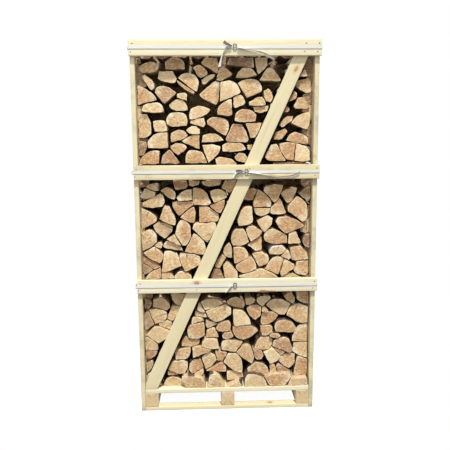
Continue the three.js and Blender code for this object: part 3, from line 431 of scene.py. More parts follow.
def split_log():
    """A split log: sawn ends with year rings, drying cracks and a pale rim; torn sides; bark outside."""
    material, tree, shader = new_material("split_log")
    place = tree.field("log_place")
    tint, kind, birch = tree.looks("log_look")
    reach, bark, cut = tree.split(tree.field("log_edge"))
    across, up, along = tree.split(place)
    radius = tree.length(tree.vector(across, up))
    wobble = tree.noise(place, 22.0, 3)
    uneven = tree.plus(radius, tree.times(tree.minus(wobble, 0.5), 0.016))
    share = tree.math("DIVIDE", uneven, reach)
    # Sawn end
    rings = tree.band(tree.math("SINE", tree.times(uneven, 2300)), 0.0, 1)
    in_rings = tree.vector(tree.times(uneven, 150), tree.times(along, 3))
    broad_rings = tree.noise(in_rings, 1.0, 2)
    heart = tree.ramp(kind, [
        (0.0, (0.78, 0.60, 0.33)), (0.3, (0.64, 0.40, 0.19)),
        (0.6, (0.55, 0.29, 0.13)), (0.8, (0.40, 0.22, 0.12)), (1.0, (0.18, 0.11, 0.08)),
    ])
    rim = tree.ramp(kind, [
        (0.0, (0.92, 0.84, 0.60)), (0.5, (0.88, 0.72, 0.47)),
        (0.8, (0.66, 0.46, 0.29)), (1.0, (0.34, 0.22, 0.15)),
    ])
    wood = tree.mix(tree.band(share, 0.58, 0.97), heart, rim)
    turn = tree.math("ARCTAN2", up, across)
    rays = tree.vector(tree.times(turn, 5.5), tree.times(radius, 9), along)
    ray_noise = tree.noise(rays, 1.6, 4, 0.65)
    cracks = tree.band(ray_noise, 0.655, 0.70)
    blot = tree.noise(tree.moved(place, (3.1, 1.7, 0.0)), 26.0, 3, 0.6)
    # Torn fibres catch dirt and light in small specks, more so across the way of the saw
    specks = tree.noise(tree.scaled(place, (1.0, 1.6, 1.0)), 78.0, 4, 0.68, 0.8)
    frayed = tree.times(tree.band(cut, 1.12, 1.0), tree.band(wobble, 0.40, 0.55, 0.1, 0.75))
    dirt = tree.group(GRIME, place=place, amount=tree.math("MULTIPLY_ADD", kind, 0.55, 0.22))[0]
    wood = tree.layers(wood, [
        (tree.band(broad_rings, 0.35, 0.75, 0, 0.38), (0.56, 0.36, 0.17)),
        (tree.times(rings, 0.22), (0.42, 0.24, 0.10)),
        (tree.band(ray_noise, 0.46, 0.25, 0, 0.4), (0.93, 0.79, 0.49)),
        (tree.band(blot, 0.52, 0.70, 0, 0.5), (0.64, 0.31, 0.15)),
        (tree.band(blot, 0.46, 0.28, 0, 0.5), (0.92, 0.80, 0.53)),
        (tree.band(specks, 0.49, 0.36, 0, 0.6), (0.27, 0.135, 0.06)),
        (tree.band(specks, 0.53, 0.66, 0, 0.6), (0.97, 0.84, 0.55)),
        (tree.band(ray_noise, 0.53, 0.65, 0, 0.5), (0.33, 0.17, 0.08)),
        (frayed, (0.97, 0.87, 0.62)),
        (tree.times(dirt, 0.62), (0.17, 0.12, 0.085)),
    ])
    end = tree.mix(tree.times(cracks, 0.75), wood, (0.07, 0.035, 0.018))
    end = tree.mix(tree.band(tint, 0.5, 1.0, 0, 0.45), end, (0.95, 0.81, 0.52))
    # Split side
    streaks, relief = tree.group(FIBRES, place=place, fineness=0.8)
    dark_fibre = tree.mix(kind, (0.66, 0.46, 0.24), (0.24, 0.14, 0.08))
    light_fibre = tree.mix(kind, (0.84, 0.69, 0.44), (0.42, 0.28, 0.17))
    side = tree.mix(tree.band(streaks, 0.3, 0.7), dark_fibre, light_fibre)
    side = tree.mix(tree.times(dirt, 0.8), side, (0.13, 0.09, 0.06))
    # Bark
    plates = tree.noise(tree.scaled(place, (1, 1, 0.35)), 95.0, 4, 0.7, 0.8)
    brown_bark = tree.ramp(plates, [
        (0.3, (0.035, 0.020, 0.013)), (0.5, (0.115, 0.066, 0.040)), (0.75, (0.27, 0.19, 0.13)),
    ])
    marks = tree.noise(tree.scaled(place, (0.5, 0.5, 5.5)), 60.0, 3, 0.6)
    white_bark = tree.mix(tree.band(marks, 0.57, 0.66), (0.80, 0.77, 0.70), (0.07, 0.055, 0.045))
    bark_colour = tree.mix(birch, brown_bark, white_bark)
    torn = tree.times(tree.minus(plates, 0.5), 0.5)
    on_bark = tree.band(tree.plus(bark, torn), 0.42, 0.58)
    outside = tree.mix(on_bark, side, bark_colour)
    on_end = tree.band(cut, 0.4, 0.6)
    colour = tree.mix(on_end, outside, end)
    # Relief
    marks_across = tree.plus(tree.times(across, 0.8), tree.times(up, 0.6))
    ridges = tree.group(SAW_MARKS, travel=marks_across, place=place, spacing=0.0042)[0]
    end_relief = tree.plus(tree.times(ridges, 0.16), tree.times(rings, -0.12))
    end_relief = tree.minus(end_relief, tree.times(cracks, 0.9))
    ridged = tree.times(tree.times(on_bark, plates), 1.6)
    side_relief = tree.plus(relief, ridged)
    reliefs = {0: on_end, 2: side_relief, 3: end_relief}
    height = tree.add("ShaderNodeMix", reliefs, data_type="FLOAT").outputs[0]
    roughness = tree.band(streaks, 0.2, 0.8, 0.92, 0.74)
    finish_material(tree, shader, colour, roughness, height, 0.0022, 0.8)
    return material


def strap_weave(name, brown_share):
    """White woven strap: crossing threads with dirt in them, and a painted shadow along the lower hem."""
    material, tree, shader = new_material(name)
    place = tree.field("band_place")
    across, through, along = tree.split(place)
    warp = tree.math("SINE", tree.times(across, 2 * math.pi / 0.0012))
    weft = tree.math("SINE", tree.times(along, 2 * math.pi / 0.0018))
    threads = tree.times(warp, weft)
    dirt = tree.group(GRIME, place=place, amount=0.55)[0]
    white = tree.mix(tree.band(threads, -1, 1), (0.62, 0.61, 0.57), (0.86, 0.86, 0.83))
    # Painted shadow: the lower hem is darkened where the strap stands off the rail
    hem_painted_shadow = tree.mix(tree.band(across, -0.0032, -0.0066, 0, 0.85), white, (0.20, 0.19, 0.17))
    dirty = tree.mix(tree.times(dirt, 0.35), hem_painted_shadow, (0.40, 0.36, 0.28))
    # As far as the second argument asks, the weave turns dark brown along the dirt pattern
    colour = tree.mix(tree.band(dirt, 0.0, 1.0, 0.8 * brown_share, brown_share), dirty, (0.10, 0.065, 0.04))
    finish_material(tree, shader, colour, tree.band(threads, -1, 1, 0.62, 0.45), threads, 0.0002, 0.7)
    return material


def dull_wire():
    """Galvanised wire: grey metal, with a dull bloom and small scratches."""
    material, tree, shader = new_material("dull_wire")
    place = tree.add("ShaderNodeTexCoord").outputs["Object"]
    bloom = tree.noise(place, 260.0, 4, 0.6)
    colour = tree.mix(tree.band(bloom, 0.35, 0.7), (0.20, 0.19, 0.18), (0.10, 0.085, 0.07))
    shader.inputs["Metallic"].default_value = 0.7
    finish_material(tree, shader, colour, tree.band(bloom, 0.3, 0.7, 0.3, 0.55), bloom, 0.0002, 0.4)
    return material


def nail_steel():
    """Nail heads: bright steel going brown."""
    material, tree, shader = new_material("nail_steel")
    place = tree.add("ShaderNodeTexCoord").outputs["Object"]
    rust = tree.noise(place, 340.0, 3, 0.6)
    colour = tree.mix(tree.band(rust, 0.42, 0.6), (0.46, 0.44, 0.40), (0.24, 0.13, 0.07))
    shader.inputs["Metallic"].default_value = 0.6
    finish_material(tree, shader, colour, tree.band(rust, 0.4, 0.6, 0.42, 0.8), rust, 0.0002, 0.5)
    return material


def red_bark():
    """Thin inner bark left on a board: red-brown fibres."""
    material, tree, shader = new_material("red_bark")
    place = tree.field("board_place")
    streaks, relief = tree.group(FIBRES, place=place, fineness=1.3)
    colour = tree.ramp(streaks, [
        (0.3, (0.13, 0.055, 0.028)), (0.5, (0.31, 0.16, 0.085)), (0.75, (0.55, 0.36, 0.20)),
    ])
    finish_material(tree, shader, colour, 0.85, relief, 0.0015, 1.0)
    return material


def pale_floor():
    """A white table lit from within, so that the crate stands on white as on a light box. It lights the
    crate less than it shows, as the photo's floor does."""
    material, tree, shader = new_material("pale_floor")
    place = tree.add("ShaderNodeTexCoord").outputs["Object"]
    clouds = tree.noise(place, 3.0, 3)
    colour = tree.mix(clouds, (0.19, 0.19, 0.19), (0.22, 0.22, 0.22))
    seen = tree.add("ShaderNodeLightPath").outputs["Is Camera Ray"]
    glow = tree.mix(seen, (0.06, 0.06, 0.06), (1, 1, 1))
    tree.give(shader.inputs["Emission Color"], glow)
    shader.inputs["Emission Strength"].default_value = 0.95
    finish_material(tree, shader, colour, 0.85)
    return material


# Camera and light

def add_camera():
    """The camera looks along +Y, turned by its yaw, pitched down and rolled a little."""
    yaw, pitch, roll = CAMERA_YAW, CAMERA_PITCH, CAMERA_ROLL
    ahead = np.array([math.sin(yaw) * math.cos(pitch), math.cos(yaw) * math.cos(pitch), -math.sin(pitch)])
    level = np.array([math.cos(yaw), -math.sin(yaw), 0.0])
    above = np.cross(level, ahead)
    right = math.cos(roll) * level + math.sin(roll) * above
    up = -math.sin(roll) * level + math.cos(roll) * above
    camera = bpy.data.objects.new("camera", bpy.data.cameras.new("camera"))
    turned = np.eye(4)
    turned[:3, 0], turned[:3, 1], turned[:3, 2], turned[:3, 3] = right, up, -ahead, CAMERA_PLACE
    camera.matrix_world = Matrix(turned.tolist())
    camera.data.lens = CAMERA_LENS
    bpy.context.scene.collection.objects.link(camera)
    bpy.context.scene.camera = camera


def add_light(name, kind, place, target, power, size):
    data = bpy.data.lights.new(name, kind)
    data.energy = power
    if kind == "SUN":
        data.angle = size
    else:
        data.shape = "DISK"
        data.size = size
    light = bpy.data.objects.new(name, data)
    light.location = place
    toward = np.array(target) - np.array(place)
    light.rotation_euler = (
        math.acos(-toward[2] / np.linalg.norm(toward)), 0.0, math.atan2(toward[1], toward[0]) - math.pi / 2
    )
    bpy.context.scene.collection.objects.link(light)


def add_studio():
    """A pale floor, white surroundings, soft light from above the front and a fill from each side."""
    bpy.context.scene.view_settings.view_transform = "Standard"
    world = bpy.data.worlds.new("studio")
    world.use_nodes = True
    tree = Tree(world.node_tree)
    surroundings = world.node_tree.nodes["Background"]
    surroundings.inputs["Color"].default_value = (1, 1, 1, 1)
    seen = tree.add("ShaderNodeLightPath").outputs["Is Camera Ray"]
    tree.give(surroundings.inputs["Strength"], tree.math("MULTIPLY_ADD", seen, 1 - AMBIENT, AMBIENT))
    bpy.context.scene.world = world
    add_light("key", "SUN", (0.7, -3.6, 6.6), (0, 0, 0), 3.6, math.radians(5))
    add_light("fill_top", "AREA", (-0.4, -2.6, 3.2), (0, -0.4, 1.8), 16, 1.5)
    add_light("fill_left", "AREA", (-3.5, -2.5, 2.2), (0, 0, 1.0), 22, 2.5)
    add_light("fill_back", "AREA", (1.5, 3.8, 3.5), (0, 0, 1.0), 35, 2.5)
    bpy.ops.mesh.primitive_plane_add(size=FLOOR_SIZE, location=(0, 0, FLOOR_LEVEL))
    floor = bpy.context.object
    floor.name = "floor"
    floor.data.materials.append(pale_floor())


# Strapping

def curve_through(points, steps):
    """A smooth line through the points: between two of them, the cubic whose slope at each point is
    half the way from the point before to the point after."""
    ends = [2 * points[0] - points[1]], [2 * points[-1] - points[-2]]
    held = np.concatenate([ends[0], points, ends[1]])
    place = np.linspace(0, len(points) - 1, 30 * steps + 1)
    piece = np.minimum(place.astype(int), len(points) - 2)
    t = (place - piece)[:, None]
    a, b, c, d = (held[piece + k] for k in range(4))
    square, cube = 2 * a - 5 * b + 4 * c - d, 3 * b - a - 3 * c + d
    dense = 0.5 * (2 * b + (c - a) * t + square * t**2 + cube * t**3)
    walked = way_along(dense)
    even = np.linspace(0, walked[-1], steps + 1)
    return np.stack([np.interp(even, walked, dense[:, k]) for k in range(3)], -1)


def band_section():
    """A flat band's section, across and through, anticlockwise: thin in the middle, thick at the hems."""
    across = np.array([-0.5, -0.42, -0.2, 0.2, 0.42, 0.5, 0.5, 0.42, 0.2, -0.2, -0.42, -0.5])
    through = np.array([-0.4, -0.5, -0.38, -0.38, -0.5, -0.4, 0.4, 0.5, 0.38, 0.38, 0.5, 0.4])
    return across * STRAP_WIDTH, through * STRAP_THICKNESS


def ribbon(path, across):
    """A band's section carried along a path: at each step, across is the way its width lies."""
    along = unit(np.gradient(path, axis=0))
    through = np.cross(along, across)
    wide, thick = band_section()
    rings = path[:, None] + across[:, None] * wide[:, None] + through[:, None] * thick[:, None]
    walked = way_along(path)
    place = np.stack(np.broadcast_arrays(wide, thick, walked[:, None]), -1)
    ends = np.stack([path[0], path[-1]])[None]
    end_place = np.array([[0, 0, walked[0]], [0, 0, walked[-1]]])[None]
    return joined_tubes(rings[None], ends, {"band_place": (place[None], end_place)})


def add_tail(name, nodes, points, material, twist):
    """A loose strap end: a band along its line that leaves its buckle nearly on edge and turns flatter
    towards its tip. It stands off the crate by as much as its lower edge needs."""
    route = np.array([(x, STRAP_FACE, z) for x, z in points])
    path = curve_through(route, TAIL_STEPS)
    share = np.linspace(0, 1, TAIL_STEPS + 1)
    angle = twist[0] + (twist[1] - twist[0]) * share**2 * (3 - 2 * share)
    path[:, 1] -= 0.5 * STRAP_WIDTH * abs(np.sin(angle)) + 0.0004
    along = unit(np.gradient(path, axis=0))
    out = np.array([0.0, -1.0, 0.0])
    flat = unit(np.cross(along, out))
    other = np.cross(along, flat)
    across = flat * np.cos(angle)[:, None] + other * np.sin(angle)[:, None]
    tail = make_piece(name, ribbon(path, across), material, nodes)
    walked = float(np.linalg.norm(np.diff(path, axis=0), axis=1).sum())
    return tail, path, walked


def add_tails(material, dark_brown):
    """The loose strap ends. Each twist is the band's angle to the crate's front at its two ends."""
    twists = {"strap_tail_upper_right": (1.95, 0.85), "strap_tail_upper_left": (1.95, 0.7),
              "strap_tail_middle_right": (1.9, 0.9)}
    for node, points in LONG_TAILS.items():
        name = node.replace("strap_tail", "loose_band")
        tail, path, length = add_tail(name, [node], points, material, twists[node])
    for node, points in SHORT_TAILS.items():
        add_tail(node.replace("strap_tail", "loose_band"), [node], points, material, (1.9, 1.0))
    for name, points in STUBS.items():
        add_tail(name, [], points, dark_brown, (2.0, 2.5))


# Logs

def traced_ends(node, behind):
    """The outlines of the log ends on a row's front: the front faces that stand before behind are
    gathered into islands, and each convex island's rim points are put in order round its middle."""
    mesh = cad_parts[node].data
    mesh.calc_loop_triangles()
    places = np.empty(len(mesh.vertices) * 3, np.float32)
    mesh.vertices.foreach_get("co", places)
    faces = np.empty(len(mesh.loop_triangles) * 3, np.int32)
    mesh.loop_triangles.foreach_get("vertices", faces)
    corners, same = np.unique(np.round(places.reshape(-1, 3), 5), axis=0, return_inverse=True)
    faces = same.reshape(-1)[faces].reshape(-1, 3)
    level = np.ptp(corners[faces][:, :, 1], axis=1) < 1e-5
    first, second, third = (corners[faces][:, k] for k in range(3))
    forward = np.cross(second - first, third - first)[:, 1] < 0
    faces = faces[level & forward & (first[:, 1] < behind)]
    island = np.arange(len(corners))
    while True:
        lowest = island[faces].min(1)
        before = island.copy()
        np.minimum.at(island, faces.ravel(), np.repeat(lowest, 3))
        if np.array_equal(before, island):
            break
    used = np.unique(faces)
    outlines = []
    for number in np.unique(island[used]):
        rim = corners[used[island[used] == number]]
        turn = np.arctan2(rim[:, 2] - rim[:, 2].mean(), rim[:, 0] - rim[:, 0].mean())
        rim = rim[np.argsort(turn)]
        if np.ptp(rim[:, [0, 2]], axis=0).min() > SMALLEST_END:
            outlines.append((rim[:, [0, 2]].astype(float), float(rim[0, 1])))
    return outlines


def walked_round(outline, count):
    """The outline at that many even steps, the step nearest each corner moved onto it. Then the points
    are drawn towards their neighbours, which rounds the bark side; the sharp corners, left by the
    axe, are only blunted."""
    closed = np.vstack([outline, outline[:1]])
    sides = np.diff(closed, axis=0)
    walked = way_along(closed)
    heading = np.arctan2(sides[:, 1], sides[:, 0])
    turn = abs((heading - np.roll(heading, 1) + math.pi) % (2 * math.pi) - math.pi)
    steps = np.linspace(0, walked[-1], count, endpoint=False)
    held = np.full(count, 0.5)
    for corner, angle in zip(walked[:-1], turn):
        nearest = np.argmin(abs(steps - corner))
        steps[nearest] = corner
        held[nearest] = 0.94 if angle > SHARP_TURN else 0.5
    points = np.stack([np.interp(steps, walked, closed[:, k]) for k in (0, 1)], -1)
    for _ in range(3):
        beside = 0.5 * (np.roll(points, 1, 0) + np.roll(points, -1, 0))
        points = held[:, None] * points + (1 - held[:, None]) * beside
    return points


def middle_of_tree(outline, rng):
    """Where the tree's pith lies, seen from a log's outline: on a half log at the middle of its long
    side, on a wedge near the corner of its two long sides, on a round one inside, else beyond a side."""
    sides = np.roll(outline, -1, 0) - outline
    lengths = np.linalg.norm(sides, axis=1)
    longest, second = np.argsort(-lengths)[:2]
    centre = outline.mean(0)
    if lengths[longest] < 0.2 * lengths.sum():
        return centre + rng.normal(0, 0.004, 2)
    if lengths[longest] > 1.45 * lengths[second]:
        return outline[longest] + 0.5 * sides[longest] + 0.1 * (centre - outline[longest])
    shared = {longest, (longest + 1) % len(outline)} & {second, (second + 1) % len(outline)}
    if shared:
        corner = outline[shared.pop()]
        return corner + rng.uniform(-0.15, 0.2) * (centre - corner)
    beyond = outline[second] + 0.5 * sides[second]
    return beyond + 0.35 * (beyond - centre)


# Log ends that stand out by their colour or their bark: across and up, and what they are.
# The grey and dark looks copy log ends that lie in shade: painted shade. Several brown ones do the same,
# so the brown look is partly painted shade.
NOTED_LOGS = {
    (-0.355, 0.500): "birch", (-0.410, 1.860): "birch", (0.200, 1.155): "birch", (-0.150, 0.563): "birch",
    (-0.250, 0.800): "birch", (0.285, 0.935): "birch", (-0.095, 1.880): "pale", (-0.400, 1.725): "pale",
    (-0.440, 0.330): "brown", (-0.255, 1.310): "brown", (-0.350, 1.050): "brown", (-0.440, 0.880): "brown",
    (0.180, 0.320): "brown", (-0.310, 1.460): "brown", (-0.270, 1.955): "brown", (-0.320, 1.795): "brown",
    (0.310, 0.335): "brown", (0.330, 0.230): "grey", (-0.055, 0.805): "grey", (0.085, 1.460): "brown",
    (0.070, 1.590): "brown", (0.090, 1.965): "dark", (0.195, 1.950): "brown", (-0.275, 0.655): "brown",
    (-0.050, 1.180): "brown", (-0.085, 0.505): "brown",
}
# Kind and birch of each look
LOOKS = {
    "birch": (0.08, 1.0),
    "pale": (0.02, 0.0),
    "brown": (0.74, 0.0),
    "grey": (0.85, 0.0),
    "dark": (0.95, 0.0),
}


def log_looks(middles, rng, row):
    """Tint, kind and birch of each log: drawn at random, or as noted where a noted one is close by.
    The uppermost logs are made dark: painted shade under the top rail."""
    count = len(middles)
    tint = rng.uniform(0.15, 0.85, count)
    kind = rng.beta(2.2, 3.2, count) * 0.75
    birch = (rng.uniform(0, 1, count) < BIRCH_SHARE[row]).astype(float)
    # The thin sticks at the very side are made dark: painted shade beside the outermost logs
    kind = np.where(abs(middles[:, 0]) > VERY_SIDE, STICK_SHADE_KIND, kind)
    # Painted shade: the uppermost logs, in the top rail's shadow, get a dark tint and kind
    high = middles[:, 1] > SHADE_PAINTED_ABOVE[row]
    tint, kind = np.where(high, SHADE_PAINTED_TINT, tint), np.where(high, SHADE_PAINTED_KIND, kind)
    birch[high] = 0
    if row == "middle":
        return np.stack([tint, kind, birch, np.ones(count)], -1)
    for (x, z), look in NOTED_LOGS.items():
        away = np.hypot(middles[:, 0] - x, middles[:, 1] - z)
        nearest = int(away.argmin())
        if away[nearest] < NOTED_WITHIN:
            kind[nearest], birch[nearest] = LOOKS[look]
    return np.stack([tint, kind, birch, np.ones(count)], -1)


def log_shapes(outlines, fronts, row, rng):
    """Closed logs: each outline is carried back along the log in rings. At both ends smaller and
    smaller rings make a sawn face that slants a little; between them the log narrows, bends and its
    split sides swell and sink in long waves."""
    count = len(outlines)
    around = CORNERS_AROUND[row]
    size = np.array([0.3, 0.62, 0.86, 0.965, 1, 1, 1, 1, 1, 1, 0.96, 0.6])
    depth = np.array([0, 0, 0, 0, 0.007, 0.12, 0.35, 0.6, 0.82, 0.993, 1, 1])
    sawn = np.array([1, 1, 1, 1, 0, 0, 0, 0, 0, 0, 1, 1.0])
    profile = np.stack([walked_round(outline, around) for outline in outlines])
    pith = np.stack([middle_of_tree(outline, rng) for outline in outlines])
    middle = profile.mean(1)
    away = profile - middle[:, None]
    from_pith = profile - pith[:, None]
    radius = np.linalg.norm(from_pith, axis=2)
    reach = radius.max(1)
    side = np.roll(profile, -1, 1) - np.roll(profile, 1, 1)
    normal = np.stack([side[:, :, 1], -side[:, :, 0]], -1)
    normal /= np.linalg.norm(normal, axis=2)[:, :, None] + 1e-9
    facing = (normal * from_pith).sum(2) / (radius + 1e-9)
    turned_out = np.clip((facing - BARK_FACING) / BARK_STEP, 0, 1)
    outside = turned_out * np.clip((radius / reach[:, None] - BARK_REACH) / BARK_STEP, 0, 1)
    barked = outside * (rng.uniform(0, 1, count) < BARK_KEPT)[:, None]
    at_side = abs(profile[:, :, 0]) > ROW_REACH - BULGE_SIDE
    on_stack = at_side | (profile[:, :, 1] > ROW_HEIGHTS[1] - BULGE_TOP)
    barked = np.maximum(barked, on_stack * (rng.uniform(0, 1, count) < BARK_KEPT_OUTSIDE)[:, None])

    length = LOG_LENGTH + rng.uniform(*LENGTH_VARIES, count)
    narrow = rng.uniform(0.0, 0.07, count)
    bend = rng.normal(0, 0.0016, (count, 2))
    slant = rng.normal(0, 0.028, (count, 2))
    start = rng.uniform(0, 6.28, (count, 3))
    angle = np.arctan2(away[:, :, 1], away[:, :, 0])
    swell = 0.0011 * np.sin(3 * angle[:, None] + start[:, 0, None, None] + 4 * depth[None, :, None])
    swell = swell + 0.0007 * np.sin(7 * angle[:, None] + start[:, 1, None, None] - 3 * depth[None, :, None])
    grown = size[None, :] * (1 - narrow[:, None] * depth[None, :])
    flat = middle[:, None, None] + away[:, None] * grown[:, :, None, None]
    flat = flat + normal[:, None] * (swell * (size > 0.9)[None, :, None])[:, :, :, None]
    flat = flat + bend[:, None, None] * np.sin(math.pi * depth)[None, :, None, None]
    tilt = ((flat - middle[:, None, None]) * slant[:, None, None]).sum(-1) * (1 - depth)[None, :, None]
    rough = 0.0005 * np.sin(9 * angle[:, None] + 40 * size[None, :, None] + start[:, 2, None, None])
    y = fronts[:, None, None] + depth[None, :, None] * length[:, None, None] + tilt
    y = y + rough * sawn[None, :, None]
    rings = np.stack([flat[..., 0], y, flat[..., 1]], -1)
    ends = np.stack([rings[:, 0].mean(1), rings[:, -1].mean(1)], 1)

    seed = rng.uniform(0, 9, count)

    def placed(points):
        extra = (1,) * (points.ndim - 2)
        across = points[..., 0] - pith[:, 0].reshape(-1, *extra)
        up = points[..., 2] - pith[:, 1].reshape(-1, *extra)
        return np.stack([across, up, points[..., 1] + seed.reshape(-1, *extra)], -1)

    looks = log_looks(middle, rng, row)
    ring_count = len(size)
    on_rings = np.broadcast_to(looks[:, None, None], (count, ring_count, around, 4))
    on_ends = np.broadcast_to(looks[:, None], (count, 2, 4))
    skin = barked[:, None] * (size > 0.97)[None, :, None]
    reach_rings = np.broadcast_to(reach[:, None, None], skin.shape)
    inner = sawn * (2 - size)
    edge = np.stack([reach_rings, skin, np.broadcast_to(inner[None, :, None], skin.shape)], -1)
    reach_ends = np.repeat(reach[:, None], 2, 1)
    edge_ends = np.stack([reach_ends, np.zeros((count, 2)), np.full((count, 2), 2.0)], -1)
    return joined_tubes(rings, ends, {
        "log_place": (placed(rings), placed(ends)),
        "log_look": (on_rings, on_ends),
        "log_edge": (edge, edge_ends),
    }, inward=True)


def add_log_row(row, outlines, fronts, material):
    """The row's logs in patches, each a stretch of logs from the bottom up on one half of the row."""
    rng = np.random.default_rng(SEEDS[row])
    middles = np.array([outline.mean(0) for outline in outlines])
    for half, chosen in (("left", middles[:, 0] < 0), ("right", middles[:, 0] >= 0)):
        members = np.flatnonzero(chosen)
        members = members[np.argsort(middles[members, 1])]
        for number, patch in enumerate(np.array_split(members, math.ceil(len(members) / LOGS_IN_PATCH))):
            surface = log_shapes([outlines[k] for k in patch], fronts[patch], row, rng)
            name = f"logs_{row}_{half}_{number + 1}"
            make_piece(name, surface, material, [f"log_row_{row}"], sharp=38)


def bulged(outline, axis, limit, depth):
    """The outline with its flat side along a limit made round: points are added halfway on that side,
    and all of it is drawn back by the square of the distance from the side's middle."""
    points = []
    for point, following in zip(outline, np.roll(outline, -1, 0)):
        points.append(point)
        if max(abs(point[axis] - limit), abs(following[axis] - limit)) < FLAT_WITHIN:
            points.append((point + following) / 2)
    points = np.array(points)
    flat = abs(points[:, axis] - limit) < FLAT_WITHIN
    if flat.sum() < 3:
        return outline
    place = points[flat, 1 - axis]
    away = (place - (place.min() + place.max()) / 2) / (np.ptp(place) / 2)
    points[flat, axis] -= math.copysign(depth, limit) * away**2
    return points


def turned_over(outlines):
    """The outlines with left and right, and top and bottom, changed over, each a little larger."""
    low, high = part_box("log_row_front")[0].z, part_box("log_row_front")[1].z
    turned = []
    for outline in outlines:
        changed = np.stack([-outline[:, 0], low + high - outline[:, 1]], -1)
        changed = changed.mean(0) + FILLING * (changed - changed.mean(0))
        changed[:, 0] = np.clip(changed[:, 0], -ROW_REACH, ROW_REACH)
        changed[:, 1] = np.clip(changed[:, 1], *ROW_HEIGHTS)
        turned.append(changed)
    return turned


def side_room(outlines, side):
    """At even heights on one side of a row: the logs' furthest reach, and how far a stick may reach,
    which is past the side between two slats and up to the slat's inner face behind a slat."""
    levels = np.arange(*ROW_HEIGHTS, STICK_STEP)
    reach = np.full(len(levels), STICK_FROM)
    for outline in outlines:
        rim = walked_round(outline, CORNERS_AROUND["front"])
        for share in np.arange(0, 1, 0.1):
            between = rim * (1 - share) + np.roll(rim, -1, 0) * share
            place = np.clip((between[:, 1] - levels[0]) / STICK_STEP, 0, len(levels) - 1).astype(int)
            np.maximum.at(reach, place, side * between[:, 0])
    limit = np.full(len(levels), STICK_TO)
    for number in range(1, 7):
        low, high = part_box(f"side_slat_left_{number}")
        limit[(levels > low.z - SLAT_MARGIN) & (levels < high.z + SLAT_MARGIN)] = -high.x - 0.001
    return levels, reach, limit


def side_sticks(outlines):
    """Thin sticks in the room that is left beside the outermost logs: each fills one stretch of it, up
    to where the next one starts. Their heights differ by a sine of their number."""
    sticks = []
    for side in (-1, 1):
        levels, reach, limit = side_room(outlines, side)
        runs = [[]]
        for k, fits in enumerate(limit - reach > STICK_LEAST_ROOM):
            run = runs[-1]
            tallest = STICK_HEIGHT + STICK_HEIGHT_VARIES * math.sin(7 * len(runs))
            if run and (not fits or limit[k] != limit[run[-1]] or len(run) * STICK_STEP > tallest):
                runs.append([])
            if fits:
                runs[-1].append(k)
        for run in runs:
            if len(run) < 2:
                continue
            span = np.arange(max(run[0] - 1, 0), min(run[-1] + 2, len(levels)))
            outside = limit[run[0]]
            within = np.minimum(reach[span] - STICK_OVERLAP, outside - STICK_THINNEST)
            inner = np.stack([side * within, levels[span]], -1)
            outer = np.stack([np.full(3, side * outside), levels[span[[0, len(span) // 2, -1]]]], -1)
            rim = np.vstack([inner[::2], inner[-1:], outer])
            away = rim - rim.mean(0)
            sticks.append(rim[np.argsort(np.arctan2(away[:, 1], away[:, 0]))])
    return sticks


def close_packed():
    """Outlines of six-sided logs that share their corners, as in a honeycomb which is pushed out of
    shape by slow waves across and up, and cut off at the row's sides, top and bottom."""
    outlines = []
    turn = np.arange(6) * math.pi / 3 + math.pi / 6
    cell = PACKED_PITCH / math.sqrt(3) * np.stack([np.cos(turn), np.sin(turn)], -1)
    low, high = ROW_HEIGHTS
    for level in range(math.ceil((high - low) / (0.866 * PACKED_PITCH)) + 1):
        for place in range(-5, 7):
            x = (place - 0.5 * (level % 2)) * PACKED_PITCH
            corners = np.array([x, low + level * 0.866 * PACKED_PITCH]) + cell
            across = 0.016 * np.sin(41 * corners[:, 1] + 1) + 0.010 * np.sin(67 * corners[:, 0] + 2)
            up = 0.016 * np.sin(37 * corners[:, 0] + 4) + 0.010 * np.sin(59 * corners[:, 1])
            corners = corners + np.stack([across, up], -1)
            corners[:, 0] = np.clip(corners[:, 0], -ROW_REACH, ROW_REACH)
            corners[:, 1] = np.clip(corners[:, 1], low, high)
            if np.ptp(corners, axis=0).min() > SMALLEST_END:
                for side in (-ROW_REACH, ROW_REACH):
                    corners = bulged(corners, 0, side, BULGE_SIDE)
                outlines.append(corners)
    return outlines


def add_logs():
    material = split_log()
    traced = traced_ends("log_row_front", TRACED_BEFORE)
    outlines = [outline for outline, front in traced]
    fronts = np.array([front for outline, front in traced])
    uneven = np.clip(fronts - np.median(fronts), -UNEVEN, UNEVEN)
    packed = close_packed()
    middle_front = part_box("log_row_middle")[0].y
    add_log_row("middle", packed, np.full(len(packed), middle_front), material)
    back_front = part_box("log_row_back")[0].y
    rounded = [bulged(outline, 1, ROW_HEIGHTS[1], BULGE_TOP) for outline in outlines]
    for row, logs, starts, stick_start in (
        ("front", rounded, fronts, STICK_FRONT),
        ("back", turned_over(outlines), back_front + uneven, back_front),
    ):
        sticks = side_sticks(logs)
        starts = np.concatenate([starts, np.full(len(sticks), stick_start)])
        add_log_row(row, logs + sticks, starts, material)


# Boards

def board_profile(wide, thick, edge):
    """A rounded rectangle, anticlockwise: a quarter circle of four points at each corner, and points
    at even steps on the sides between them."""
    arc = np.radians(np.arange(0, 91, 30))
    corners = ((1, 1), (-1, 1), (-1, -1), (1, -1))
    parts = []
    for quarter, (right, up) in enumerate(corners):
        middle = np.array([right * (wide / 2 - edge), up * (thick / 2 - edge)])
        turn = arc + quarter * math.pi / 2
        parts.append(middle + edge * np.stack([np.cos(turn), np.sin(turn)], -1))
    points = []
    for quarter, part in enumerate(parts):
        following = parts[(quarter + 1) % 4][0]
        inside = 4 if quarter % 2 == 0 else 2
        share = np.linspace(0, 1, inside + 2)[1:-1, None]
        points += [part, part[-1] * (1 - share) + following * share]
    return np.vstack(points)


